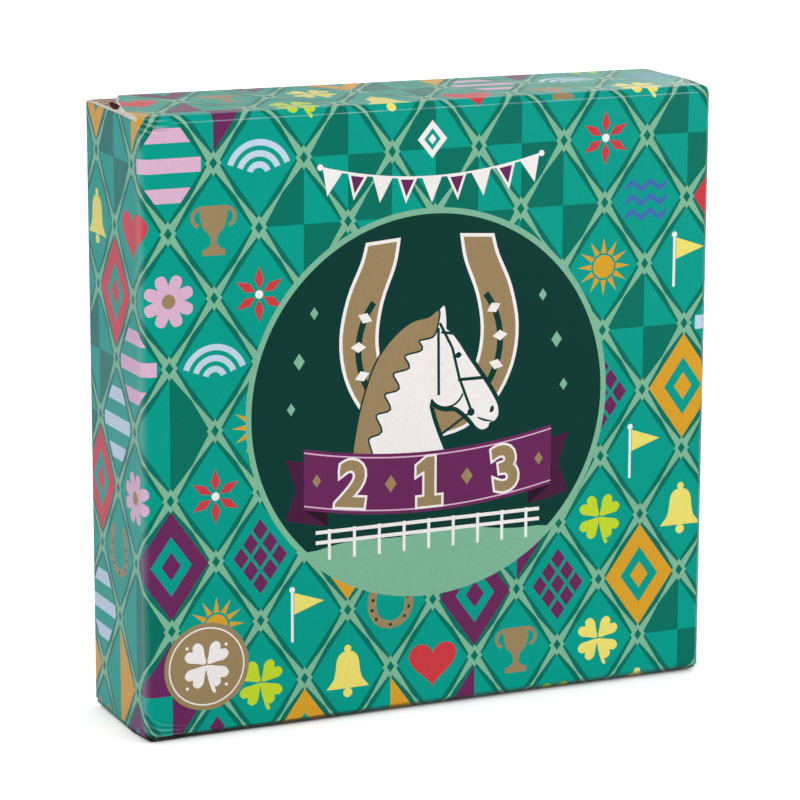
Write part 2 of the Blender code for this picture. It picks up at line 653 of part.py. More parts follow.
def wire(name, path, thickness, place, look):
    """A round wire along a path of (x, y, z) points."""
    curve = bpy.data.curves.new(name, "CURVE")
    curve.dimensions = "3D"
    curve.bevel_depth = thickness / 2
    curve.bevel_resolution = 2
    curve.use_fill_caps = True
    spline = curve.splines.new("POLY")
    spline.points.add(len(path) - 1)
    for point, place_on_path in zip(spline.points, path):
        point.co = (*place_on_path, 1.0)
    line = bpy.data.objects.new(name, curve)
    PARTS.objects.link(line)
    line.location = place
    return mesh_from_curve(line, look)


def staple(name, crown_x, y, level):
    """A wire staple: the crown outside the spine, the legs through it."""
    half = STAPLE_CROWN / 2
    bend = STAPLE_WIRE
    low = arc((bend, -half + bend), bend, -math.pi / 2, -math.pi, 3)
    high = arc((bend, half - bend), bend, math.pi, math.pi / 2, 3)
    outline = [(STAPLE_LEG, -half)] + low + high + [(STAPLE_LEG, half)]
    wire(name, [(u, 0.0, v) for u, v in outline], STAPLE_WIRE, (crown_x, y, level), STEEL)


make_lid()
make_base()
make_dividers()
for bundle in range(NOTE_WELLS):
    note_bundle(bundle)
for pad in range(SLIP_PADS):
    slip_pad(pad)
make_rosette()
make_odds_board()
make_race_cards()
make_guide()
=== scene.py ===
"""Looks of the boxed horse racing game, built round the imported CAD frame.

Shapes and artwork are in millimetres, and are turned to metres when their
mesh is made.  Camera, lamps and bumps are in metres.  On flat artwork, u runs
to the right and v runs up, both from the middle of the panel.
"""

import math

import bmesh
import bpy
import numpy as np
from mathutils import Matrix, Vector
from mathutils.geometry import delaunay_2d_cdt, interpolate_bezier

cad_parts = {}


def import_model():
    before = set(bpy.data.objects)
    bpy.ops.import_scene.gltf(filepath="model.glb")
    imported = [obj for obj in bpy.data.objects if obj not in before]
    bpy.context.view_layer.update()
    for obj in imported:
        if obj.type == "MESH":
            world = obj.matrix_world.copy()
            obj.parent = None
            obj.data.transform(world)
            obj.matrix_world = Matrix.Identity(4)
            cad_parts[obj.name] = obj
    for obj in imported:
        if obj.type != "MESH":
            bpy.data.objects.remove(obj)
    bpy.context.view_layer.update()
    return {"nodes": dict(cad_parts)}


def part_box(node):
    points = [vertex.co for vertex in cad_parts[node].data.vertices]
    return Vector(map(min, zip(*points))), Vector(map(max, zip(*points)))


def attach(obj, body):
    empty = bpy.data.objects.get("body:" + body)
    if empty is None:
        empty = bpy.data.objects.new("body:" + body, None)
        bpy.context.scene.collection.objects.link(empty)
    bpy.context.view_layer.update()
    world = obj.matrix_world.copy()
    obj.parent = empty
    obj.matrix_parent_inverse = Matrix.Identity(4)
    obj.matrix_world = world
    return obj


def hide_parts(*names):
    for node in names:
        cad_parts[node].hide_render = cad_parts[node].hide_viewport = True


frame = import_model()
MM = 0.001

# Board and folds, in millimetres
BOARD = 1.5
GLUE_GAP = 0.10
BOTTOM_INSET = 0.55
LID_FOLD = 3.2
LID_SCORE = 1.5
BASE_FOLD = 3.0
BASE_SCORE = 1.4
TAB_LENGTH = 22.0
TAB_TAPER = 5.0
TAB_SETBACK = 1.5
TAB_BEND = 0.6
# How far past the fold the print goes on round the board's cut edge
WRAP = 0.05
FLUTE_PITCH = 3.2
NORMAL_STEP = 0.02
HALF_FOLD = math.pi / 4

# Printing inks
INKS = {
    "teal": "#009C8B",
    "green": "#00705F",
    "deep": "#00362F",
    "sage": "#7FB899",
    "purple": "#69275A",
    "bronze": "#9C855F",
    "mustard": "#DBA12A",
    "red": "#CF3B43",
    "pink": "#DDB3CE",
    "sky": "#C4D8EA",
    "lime": "#C5DA2F",
    "blue": "#3F6BB0",
    "yellow": "#F0E272",
    "white": "#F5F0EE",
    "cream": "#EFE9DC",
    "black": "#1B1D20",
    "plum": "#48183D",
    "dusk": "#260B20",
    "fog": "#B7A9A0",
    "blush": "#D9BFB9",
    "hole_shade": "#4B2D1E",
    "moss": "#1B5A4C",
    "mint": "#DDEBDD",
    "rose": "#F3DDE3",
    "straw": "#F4E7BD",
    "ice": "#DCE8F2",
    "torn_fog": "#BBA79C",
    "torn_blush": "#DCC3BA",
    "torn_cream": "#E9DCCB",
    "torn_tan": "#A88468",
    # Kraft brown darkened as the painted shade of a hole
    "torn_hole_shade": "#472517",
    "torn_white": "#F6F1EE",
}
# What pales the print: a painted cool sheen up to the first amount, and from the second painted
# highlights, partly rubbed laminate
PAINTED_SHEEN = "#3A9AFF"
RUB_AND_HIGHLIGHT = "#CFE3DB"
PAINTED_SHEEN_ONLY, RUB_AND_HIGHLIGHT_ONLY = 0.06, 0.14


def linear(hexcode):
    """A web colour as linear red, green, blue and alpha."""
    parts = [int(hexcode[i:i + 2], 16) / 255 for i in (1, 3, 5)]
    curve = [c / 12.92 if c <= 0.04045 else ((c + 0.055) / 1.055) ** 2.4 for c in parts]
    return (*curve, 1.0)


def unit(values):
    """Values kept between 0 and 1."""
    return np.clip(values, 0, 1)


def in_scene(name, data):
    """A new object in the scene."""
    made = bpy.data.objects.new(name, data)
    bpy.context.scene.collection.objects.link(made)
    return made


def mesh_from(name, data):
    """A mesh made from a bmesh, which is freed."""
    mesh = bpy.data.meshes.new(name)
    data.to_mesh(mesh)
    data.free()
    return mesh


def middle_and_size(node_name):
    """The centre and the size of a CAD node in millimetres."""
    low, high = (np.array(corner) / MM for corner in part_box(node_name))
    return (low + high) / 2, high - low


# Flat shapes

def disc(x, y, radius, count):
    """A regular outline round a point."""
    return [(x + radius * math.cos(math.tau * i / count),
             y + radius * math.sin(math.tau * i / count)) for i in range(count)]


def arc(x, y, radius, start, end, steps):
    """Points along an arc; angles in degrees."""
    span = math.radians(end - start)
    first = math.radians(start)
    return [(x + radius * math.cos(first + span * i / steps),
             y + radius * math.sin(first + span * i / steps)) for i in range(steps + 1)]


def ring_part(x, y, outer, inner, start, end, steps):
    """A piece of a ring between two angles in degrees."""
    return arc(x, y, outer, start, end, steps) + arc(x, y, inner, end, start, steps)


def diamond(x, y, half_width, half_height):
    """A rhombus standing on its point."""
    return [(x - half_width, y), (x, y - half_height), (x + half_width, y), (x, y + half_height)]


def bar(start, end, width):
    """A straight strip between two points."""
    dx, dy = end[0] - start[0], end[1] - start[1]
    reach = math.hypot(dx, dy)
    nx, ny = -dy / reach * width / 2, dx / reach * width / 2
    return [(start[0] + nx, start[1] + ny), (start[0] - nx, start[1] - ny),
            (end[0] - nx, end[1] - ny), (end[0] + nx, end[1] + ny)]


def placed(shape, x, y, scale=1.0, turn=0.0):
    """A shape scaled, turned by degrees and moved."""
    c, s = math.cos(math.radians(turn)) * scale, math.sin(math.radians(turn)) * scale
    return [(x + u * c - v * s, y + u * s + v * c) for u, v in shape]


def counter_clockwise(shape):
    """The outline, turned round if it runs clockwise."""
    area = sum(shape[i - 1][0] * shape[i][1] - shape[i][0] * shape[i - 1][1]
               for i in range(len(shape)))
    return shape if area > 0 else shape[::-1]


def smooth(points, steps, closed=True):
    """A curve through the points, made of cubic pieces."""
    count = len(points)
    line = []
    for i in range(count if closed else count - 1):
        p = [points[(i + k) % count] if closed else points[min(max(i + k, 0), count - 1)]
             for k in (-1, 0, 1, 2)]
        for step in range(steps):
            t = step / steps
            line.append(tuple(
                0.5 * (2 * p[1][a] + (p[2][a] - p[0][a]) * t
                       + (2 * p[0][a] - 5 * p[1][a] + 4 * p[2][a] - p[3][a]) * t * t
                       + (3 * p[1][a] - p[0][a] - 3 * p[2][a] + p[3][a]) * t ** 3)
                for a in (0, 1)))
    if not closed:
        line.append(points[-1])
    return line


# Small motifs, each a list of (ink, outline) about 20 mm across

def horseshoe():
    """A horseshoe with its heels up and seven nail holes."""
    outer = smooth([(0, -8.6), (3.4, -7.9), (6.3, -5.8), (8.1, -2.6), (8.6, 1.0), (7.9, 4.6),
                    (6.6, 7.6), (6.1, 9.3)], 4, closed=False)
    inner = smooth([(3.3, 9.5), (3.7, 7.4), (4.9, 4.2), (5.4, 1.0), (5.0, -1.9), (3.8, -4.2),
                    (2.0, -5.4), (0, -5.8)], 4, closed=False)
    left = [(-u, v) for u, v in reversed(outer[1:] + inner[:-1])]
    layers = [("bronze", outer + inner + left)]
    for angle in (-200, -170, -140, -90, -40, -10, 20):
        a = math.radians(angle)
        layers.append(("deep", disc(7.0 * math.cos(a), 7.0 * math.sin(a) - 0.2, 0.62, 8)))
    return layers


def daisy():
    """Round petals about a small heart."""
    layers = []
    for i in range(8):
        a = 360 * i / 8
        petal = smooth([(1.2, 0.0), (4.6, -2.0), (8.4, -1.9), (9.4, 0.0), (8.4, 1.9),
                        (4.6, 2.0)], 4)
        layers.append(("pink", placed(petal, 0, 0, 1.0, a + 22.5)))
    layers.append(("bronze", disc(0, 0, 2.5, 20)))
    return layers


def sunburst():
    """Pointed rays about a disc."""
    layers = []
    for i in range(12):
        ray = [(4.6, -1.0), (9.8, 0.0), (4.6, 1.0)]
        layers.append(("mustard", placed(ray, 0, 0, 1.0, 360 * i / 12)))
    layers.append(("mustard", disc(0, 0, 3.9, 24)))
    return layers


def fan():
    """Three nested arches."""
    return [("sky", ring_part(0, -5.5, outer, outer - 2.4, 20, 160, 14))
            for outer in (13.5, 9.3, 5.1)]


def heart():
    """A heart."""
    points = []
    for i in range(36):
        t = math.tau * i / 36
        points.append((9.6 * math.sin(t) ** 3,
                       7.6 * math.cos(t) - 3.0 * math.cos(2 * t) - 1.2 * math.cos(3 * t)
                       - 0.5 * math.cos(4 * t)))
    return [("red", points)]


def clover(ink="lime"):
    """Four heart-shaped leaves and a bent stem."""
    layers = [(ink, smooth([(-0.3, 0.0), (0.6, -5.0), (2.2, -9.6), (3.4, -9.2), (1.8, -5.0),
                            (0.7, 0.0)], 4))]
    for i in range(4):
        leaf = smooth([(0.5, 0.0), (3.2, -2.1), (6.0, -3.9), (8.4, -3.3), (8.6, -1.2), (7.3, 0.0),
                       (8.6, 1.2), (8.4, 3.3), (6.0, 3.9), (3.2, 2.1)], 3)
        layers.append((ink, placed(leaf, 0, 0.6, 1.0, 90 * i + 45)))
    return layers


def lozenges():
    """Nine small lozenges in a rhombus."""
    layers = []
    for i in (-1, 0, 1):
        for j in (-1, 0, 1):
            layers.append(("purple", diamond((i - j) * 3.9, (i + j) * 5.2, 3.1, 4.2)))
    return layers


def waves():
    """Three wavy bars."""
    layers = []
    for level in (-5.4, 0.0, 5.4):
        upper = [(x * 0.9, level + 1.1 + 1.2 * math.sin(x * 0.75))
                 for x in np.linspace(-9.4, 9.4, 19)]
        lower = [(x, y - 2.2) for x, y in reversed(upper)]
        layers.append(("blue", upper + lower))
    return layers


def pennant():
    """A long flag on a pole."""
    return [("white", bar((-5.2, -10.5), (-5.2, 10.5), 1.1)),
            ("yellow", [(-4.4, 9.6), (8.4, 5.2), (-4.4, 0.8)]),
            ("white", disc(-5.2, 10.9, 1.2, 12))]


def trophy():
    """A cup with two handles on a foot."""
    half = [(0.0, 9.0), (5.4, 9.0), (5.2, 5.0), (4.0, 1.0), (1.6, -1.6), (1.0, -4.6), (2.6, -6.2),
            (4.4, -6.8), (4.4, -8.8), (0.0, -8.8)]
    body = half[1:-1] + [(-x, y) for x, y in reversed(half[1:-1])]
    right = ring_part(4.9, 4.9, 3.9, 2.5, -75, 80, 12)
    left = [(-x, y) for x, y in reversed(right)]
    return [("bronze", right), ("bronze", left), ("bronze", body)]


def bell():
    """A hand bell with a clapper."""
    half = [(0.0, 8.6), (2.6, 8.0), (4.4, 5.6), (5.0, 1.6), (5.8, -2.2), (7.6, -4.6), (8.8, -6.2)]
    body = smooth(half, 3, closed=False)
    body += [(-x, y) for x, y in reversed(body)]
    return [("yellow", disc(0, 9.6, 1.5, 14)), ("yellow", body), ("yellow", disc(0, -8.0, 1.9, 16))]


def star_flower():
    """Six slender leaves round a dot."""
    leaf = [(1.8, 0.0), (5.2, -1.7), (9.8, 0.0), (5.2, 1.7)]
    leaves = [("red", placed(leaf, 0, 0, 1.0, 60 * i + 30)) for i in range(6)]
    return leaves + [("white", disc(0, 0, 1.5, 14))]


def grown(shape, by):
    """An outline moved outwards by a distance, with its corners kept sharp."""
    points = [p for i, p in enumerate(shape) if math.dist(p, shape[i - 1]) > 1e-6]
    points = counter_clockwise(points)
    moved = []
    for i, point in enumerate(points):
        before, after = points[i - 1], points[(i + 1) % len(points)]
        first = (point[0] - before[0], point[1] - before[1])
        second = (after[0] - point[0], after[1] - point[1])
        one = (first[1] / math.hypot(*first), -first[0] / math.hypot(*first))
        two = (second[1] / math.hypot(*second), -second[0] / math.hypot(*second))
        joint = (one[0] + two[0], one[1] + two[1])
        size = joint[0] ** 2 + joint[1] ** 2
        reach = min(2 * by / size, 2.5 * by) if size > 1e-9 else by
        moved.append((point[0] + joint[0] * reach, point[1] + joint[1] * reach))
    return moved


def inside(point, shape):
    """Whether a point is inside an outline."""
    x, y = point
    found = False
    for i, (x1, y1) in enumerate(shape):
        x0, y0 = shape[i - 1]
        if (y0 > y) != (y1 > y) and x < (x1 - x0) * (y - y0) / (y1 - y0) + x0:
            found = not found
    return found


def figures(text):
    """Outlines of plain figures, one unit high about the origin, and whether each is a hole."""
    curve = bpy.data.curves.new("figures", "FONT")
    curve.body = text
    curve.resolution_u = 5
    holder = in_scene("figures", curve)
    bpy.context.view_layer.update()
    shapes = []
    for spline in holder.to_curve(bpy.context.evaluated_depsgraph_get()).splines:
        points = spline.bezier_points
        line = []
        for i, point in enumerate(points):
            after = points[(i + 1) % len(points)]
            corners = point.co, point.handle_right, after.handle_left, after.co
            line += interpolate_bezier(*corners, 5)[:-1]
        shapes.append([(p.x, p.y) for i, p in enumerate(line) if (p - line[i - 1]).length > 1e-5])
    holder.to_curve_clear()
    bpy.data.objects.remove(holder)
    bpy.data.curves.remove(curve)
    xs = [x for shape in shapes for x, _ in shape]
    ys = [y for shape in shapes for _, y in shape]
    size = max(ys) - min(ys)
    middle = (max(xs) + min(xs)) / 2, (max(ys) + min(ys)) / 2
    shapes = [[((x - middle[0]) / size, (y - middle[1]) / size) for x, y in shape]
              for shape in shapes]
    return [(shape, any(other is not shape and inside(shape[0], other) for other in shapes))
            for shape in shapes]


def plain_one():
    """The figure 1 with a flag and a foot, one unit high about the origin."""
    return [(-0.23, -0.5), (0.25, -0.5), (0.25, -0.39), (0.08, -0.39), (0.08, 0.5), (-0.03, 0.5),
            (-0.25, 0.35), (-0.25, 0.23), (-0.06, 0.33), (-0.06, -0.39), (-0.23, -0.39)]


FIGURES = {"1": [(plain_one(), False)]}


def print_figures(layers, text, x, y, size, ink, under, weight, border=None, turn=0.0):
    """Prints figures, size high, with a border of (ink, width) if one is given."""
    def add(tone, shape, by):
        layers.append((tone, placed(grown(shape, by), x, y, 1.0, turn)))

    if text not in FIGURES:
        FIGURES[text] = figures(text)
    solid = [placed(shape, 0, 0, size) for shape, hole in FIGURES[text] if not hole]
    holes = [placed(shape, 0, 0, size) for shape, hole in FIGURES[text] if hole]
    edge, width = border or (None, 0.0)
    if border:
        for shape in solid:
            add(edge, shape, weight + width)
    for shape in solid:
        add(ink, shape, weight)
    for shape in holes:
        if border:
            add(edge, shape, -weight)
        add(under, shape, -weight - width)


# Pattern: rhombi in rows, each row half a step along
HALF_WIDTH = 19.0
HALF_HEIGHT = 26.5
INSET = 0.835
SPIKE_WIDTH = 1.55
SPIKE_REACH = 0.61


def nested(ink, core="teal"):
    """A filled cell with a smaller cell in it."""
    return lambda x, y, w, h: [(ink, diamond(x, y, w, h)),
                               (core, diamond(x, y, w * 0.55, h * 0.55)),
                               (ink, diamond(x, y, w * 0.26, h * 0.26))]


def halved(ink):
    """A cell with its right half in another ink."""
    return lambda x, y, w, h: [(ink, [(x, y - h), (x + w, y), (x, y + h)])]


def hooped(ink):
    """A cell with three level bands."""
    def shapes(x, y, w, h):
        made = []
        for low, high in ((-0.66, -0.40), (-0.13, 0.13), (0.40, 0.66)):
            a, b = w * (1 - abs(low)), w * (1 - abs(high))
            band = [(x - a, y + low * h), (x + a, y + low * h),
                    (x + b, y + high * h), (x - b, y + high * h)]
            made.append((ink, band))
        return made
    return shapes


def faceted(ink):
    """A cell cut like a gem, its lower facets in another ink."""
    return lambda x, y, w, h: [(ink, [(x, y - h), (x + w, y), (x, y)]),
                               (ink, [(x, y + h), (x - w, y), (x, y)])]


def motif(shapes, size):
    """A cell with a motif in its middle."""
    return lambda x, y, w, h: [(ink, placed(shape, x, y, size)) for ink, shape in shapes]


CELLS = (
    motif(horseshoe(), 1.18), faceted("green"), motif(fan(), 1.04), motif(heart(), 1.12),
    nested("mustard"), motif(sunburst(), 1.22), motif(daisy(), 1.14), faceted("green"),
    motif(clover(), 1.12), nested("purple"), hooped("sky"), motif(waves(), 1.10),
    motif(trophy(), 1.10), halved("mustard"), motif(pennant(), 1.02), motif(star_flower(), 1.14),
    hooped("pink"), motif(bell(), 1.06), motif(lozenges(), 1.06), halved("green"),
    nested("red"), motif(clover("yellow"), 1.12), faceted("purple"),
)


def rhombus_pattern(layers, reach_u, reach_v, scale=1.0, plain=(), kinds=CELLS):
    """Fills the blank with cells; those centred in a plain box (u0, v0, u1, v1) stay faceted."""
    wide, high = HALF_WIDTH * scale, HALF_HEIGHT * scale
    rows = int(reach_v / high) + 2
    columns = int(reach_u / (2 * wide)) + 2
    centres = [(2 * wide * col + (wide if row % 2 else 0.0), high * row, row, col)
               for row in range(-rows, rows + 1) for col in range(-columns, columns + 1)]
    centres = [c for c in centres if abs(c[0]) < reach_u + wide and abs(c[1]) < reach_v + high]
    w, h = wide * INSET, high * INSET
    for x, y, row, col in centres:
        layers.append(("teal", diamond(x, y, w, h)))
    for x, y, row, col in centres:
        bare = any(u0 < x < u1 and v0 < y < v1 for u0, v0, u1, v1 in plain)
        index = (5 * row + 9 * col + (row * row) % 4) % len(kinds)
        kind = faceted("green") if bare else kinds[index]
        layers += kind(x, y, w, h)
    length = math.hypot(wide, high)
    along = wide / length, high / length
    for x, y, row, col in centres:
        node_x = x + wide
        for su in (-1, 1):
            for sv in (-1, 1):
                step = su * along[0], sv * along[1]
                side = -step[1] * SPIKE_WIDTH * scale, step[0] * SPIKE_WIDTH * scale
                near, far = 2.2 * scale, SPIKE_REACH * length
                base = node_x + step[0] * near, y + step[1] * near
                layers.append(("sage", [(base[0] + side[0], base[1] + side[1]),
                                        (base[0] - side[0], base[1] - side[1]),
                                        (node_x + step[0] * far, y + step[1] * far)]))
        layers += [("sage", diamond(node_x, y, 3.5 * scale, 4.9 * scale)),
                   ("green", diamond(node_x, y, 1.7 * scale, 2.4 * scale))]


# Artwork in the middle of the front, the round label and the row of pennants
ROUNDEL_CENTRE = (-2.0, 2.5)
ROUNDEL_RADIUS = 80.0
ROUNDEL_RING = 2.4
LABEL_CENTRE = (-99.3, -95.8)
LABEL_RADIUS = 18.1
BUNTING_BOX = (-62.0, 78.0, 62.0, 122.0)
NECK = [(62, 0), (57, 12), (52.5, 24), (50, 33)]
JAW = [(51, 38), (55, 34.5), (61, 32), (68, 31.5), (74, 27.5), (79.5, 22), (83.5, 17), (87.5, 14.8),
       (91.5, 16), (93, 19), (96.5, 20), (99, 24), (98.5, 29.5), (96, 35), (90.5, 44), (83.5, 54),
       (76.5, 64), (71, 72.5), (66, 79), (61.5, 83)]
EAR = [(61.5, 88), (60, 98), (54.5, 92), (52.5, 86)]
CREST = [(46, 86.5), (37, 83), (27, 75), (17, 62), (9.5, 44), (4.5, 24), (2, 0)]


def horse_head(layers, x, y, scale, coat, mane, line):
    """A horse's head and neck in profile with a mane and a bridle."""
    head = (smooth(NECK, 4, closed=False) + smooth(JAW, 4, closed=False)
            + smooth(EAR, 4, closed=False) + smooth(CREST, 4, closed=False))
    layers += [(line, placed(grown(head, 3.0), x, y, scale)),
               (coat, placed(head, x, y, scale))]
    locks = [(56, 95), (49, 91), (38, 89), (26, 81), (14, 67), (6, 48), (0, 26), (-3, 0), (9, 4),
             (7, 16), (16, 20), (12, 31), (22, 34), (18, 44), (28, 47), (24, 57), (35, 60),
             (32, 68), (44, 71), (42, 77), (52, 79), (55, 86)]
    locks = smooth(locks, 4)
    layers += [(line, placed(grown(locks, 1.2), x, y, scale)),
               (mane, placed(locks, x, y, scale))]
    strips = [((57, 87), (66, 70), 1.9), ((66, 70), (71, 50), 1.9), ((71, 50), (80, 27), 1.9),
              ((70, 49), (88, 49), 2.2), ((58, 81), (70, 79), 1.9), ((56, 84), (56.5, 40), 1.9),
              ((79, 27), (58, 14), 1.7)]
    for start, end, width in strips:
        layers.append((line, placed(bar(start, end, width), x, y, scale)))
    eye = smooth([(67.5, 64.5), (70.5, 63.2), (72.6, 65.4), (70.0, 67.2)], 3)
    nostril = smooth([(93.0, 25.5), (95.6, 26.6), (95.4, 30.0), (93.4, 28.8)], 3)
    mouth = smooth([(95.5, 19.6), (90.0, 21.4), (84.5, 23.4), (84.8, 22.2), (90.0, 19.9)], 3)
    cheek = ring_part(62, 44, 13.0, 11.6, -150, -20, 14)
    for shape in (eye, nostril, mouth, cheek, disc(79.5, 27, 2.6, 16)):
        layers.append((line, placed(shape, x, y, scale)))


def horseshoe_frame(layers, x, y, scale):
    """A large horseshoe with an outline, a groove and nail holes."""
    shape = horseshoe()[0][1]
    layers += [("white", placed(grown(shape, 0.32), x, y, scale)),
               ("bronze", placed(shape, x, y, scale))]
    for start, end in ((-218, -118), (-62, 38)):
        layers.append(("deep", placed(ring_part(0, -0.2, 7.35, 6.75, start, end, 24), x, y, scale)))
    for angle in (-205, -183, -161, -139, -41, -19, 3, 25):
        a = math.radians(angle)
        hole = placed(diamond(0, 0, 0.75, 0.5), 7.05 * math.cos(a), 7.05 * math.sin(a) - 0.2,
                      1.0, angle)
        layers.append(("white", placed(hole, x, y, scale)))


def banner(layers, x, y):
    """A ribbon over the lower part of the roundel, with three place numbers."""
    reach, low, high, sag = 55.0, -38.5, -13.5, 6.0

    def level(u, v):
        return v + sag * ((u / reach) ** 2 - 1)

    for side in (-1, 1):
        start, end = 45.0, 63.0
        drop = -5.5
        line = np.linspace(start, end, 9)
        upper = [(x + side * u, y + level(u, high) + drop) for u in line]
        lower = [(x + side * u, y + level(u, low) + drop) for u in line[::-1]]
        notch = [(x + side * (end - 4.5), y + level(end, (low + high) / 2) + drop)]
        layers.append(("plum", upper + notch + lower))
        layers.append(("dusk", [(x + side * reach, y + level(reach, low)),
                                (x + side * (start - 0.2), y + level(start, low)),
                                (x + side * (start - 0.2), y + level(start, low) + drop - 0.2)]))
    line = np.linspace(-reach, reach, 33)
    band = ([(x + u, y + level(u, high)) for u in line]
            + [(x + u, y + level(u, low)) for u in line[::-1]])
    layers.append(("purple", band))
    for offset in (1.6, -1.6):
        base = high if offset < 0 else low
        seam = ([(x + u, y + level(u, base + offset) + 0.3) for u in line]
                + [(x + u, y + level(u, base + offset) - 0.3) for u in line[::-1]])
        layers.append(("pink", seam))
    middle = (low + high) / 2
    for text, u in (("2", -34.0), ("1", 0.0), ("3", 34.0)):
        turn = math.degrees(math.atan(2 * sag * u / reach ** 2))
        size = 17.5 if u else 18.5
        print_figures(layers, text, x + u, y + level(u, middle), size, "bronze", "purple",
                      weight=0.95, border=("white", 0.95), turn=turn)
    for u, wide, tall in ((-17.0, 2.6, 3.6), (17.0, 2.6, 3.6), (-49.5, 1.9, 2.7), (49.5, 1.9, 2.7)):
        layers.append(("bronze", diamond(x + u, y + level(u, middle), wide, tall)))


def roundel(layers):
    """A horse's head in a horseshoe, over a banner and a strip of railed turf."""
    x, y = ROUNDEL_CENTRE
    layers.append(("sage", disc(x, y, ROUNDEL_RADIUS, 128)))
    inner = ROUNDEL_RADIUS - ROUNDEL_RING
    layers.append(("deep", disc(x, y, inner, 128)))
    turf_top = -56.0
    chord = math.degrees(math.asin(turf_top / inner))
    half = inner * math.cos(math.radians(chord))
    turf = arc(x, y, inner, chord, -180 - chord, 40)
    hill = [(x + half * t, y + turf_top + 3.2 * math.cos(t * math.pi / 2) + 0.9 * math.sin(t * 7))
            for t in np.linspace(-1, 1, 25)[1:-1]]
    layers.append(("sage", turf + hill))
    for post in range(-4, 5):
        px = x + post * 11.0
        layers.append(("white", bar((px, y + turf_top - 4.0), (px, y + turf_top + 8.6), 1.3)))
    for rail in (7.6, 3.4):
        layers.append(("white",
                       bar((x - 50.0, y + turf_top + rail), (x + 50.0, y + turf_top + rail), 1.5)))
    horseshoe_frame(layers, x, y + 25.0, 4.45)
    horse_head(layers, x - 31.5, y - 22.0, 0.63, "white", "bronze", "deep")
    for su in (-1, 1):
        for u, v, size in ((57.0, 22.0, 1.0), (50.5, 41.0, 0.75), (60.5, 3.0, 0.75)):
            layers.append(("sage", diamond(x + su * u, y + v, 2.4 * size, 3.4 * size)))
    banner(layers, x, y)


def bunting(layers):
    """A string of small pennants over the roundel, and a lozenge on top."""
    x0, x1, y, sag = -50.0, 47.0, 101.5, 6.5
    count = 9
    line = np.linspace(0, 1, 37)
    string = [(x0 + (x1 - x0) * t, y - 4 * sag * t * (1 - t)) for t in line]
    for i in range(count):
        t = (i + 0.5) / count
        u, v = x0 + (x1 - x0) * t, y - 4 * sag * t * (1 - t)
        slope = math.degrees(math.atan(-4 * sag * (1 - 2 * t) / (x1 - x0)))
        flag = [(-4.4, 0.0), (0.0, -10.5), (4.4, 0.0)]
        layers.append(("white", placed(flag, u, v, 1.0, slope)))
        if i % 2:
            layers.append(("purple",
                           placed([(-2.9, -0.9), (0.0, -7.8), (2.9, -0.9)], u, v, 1.0, slope)))
    layers.append(("white",
                   [(u, v + 0.4) for u, v in string] + [(u, v - 0.4) for u, v in reversed(string)]))
    for end_u in (x0, x1):
        layers.append(("white", disc(end_u, y, 1.3, 14)))
    layers += [("white", diamond(-1.5, 110.0, 6.4, 7.6)),
               ("teal", diamond(-1.5, 110.0, 3.6, 4.4)),
               ("white", diamond(-1.5, 110.0, 1.7, 2.1))]


def round_label(layers):
    """A plain round label with a ring and a clover."""
    x, y = LABEL_CENTRE
    layers.append(("bronze", disc(x, y, LABEL_RADIUS, 72)))
    for start in (0, 180):
        ring = ring_part(x, y, LABEL_RADIUS - 1.9, LABEL_RADIUS - 2.5, start, start + 180, 32)
        layers.append(("white", ring))
    for _, shape in clover():
        layers.append(("white", placed(shape, x, y, 1.14)))
    for i in range(4):
        a = math.tau * (i + 0.5) / 4
        layers.append(("white", disc(x + 11.8 * math.cos(a), y + 11.8 * math.sin(a), 0.7, 10)))


# Folding

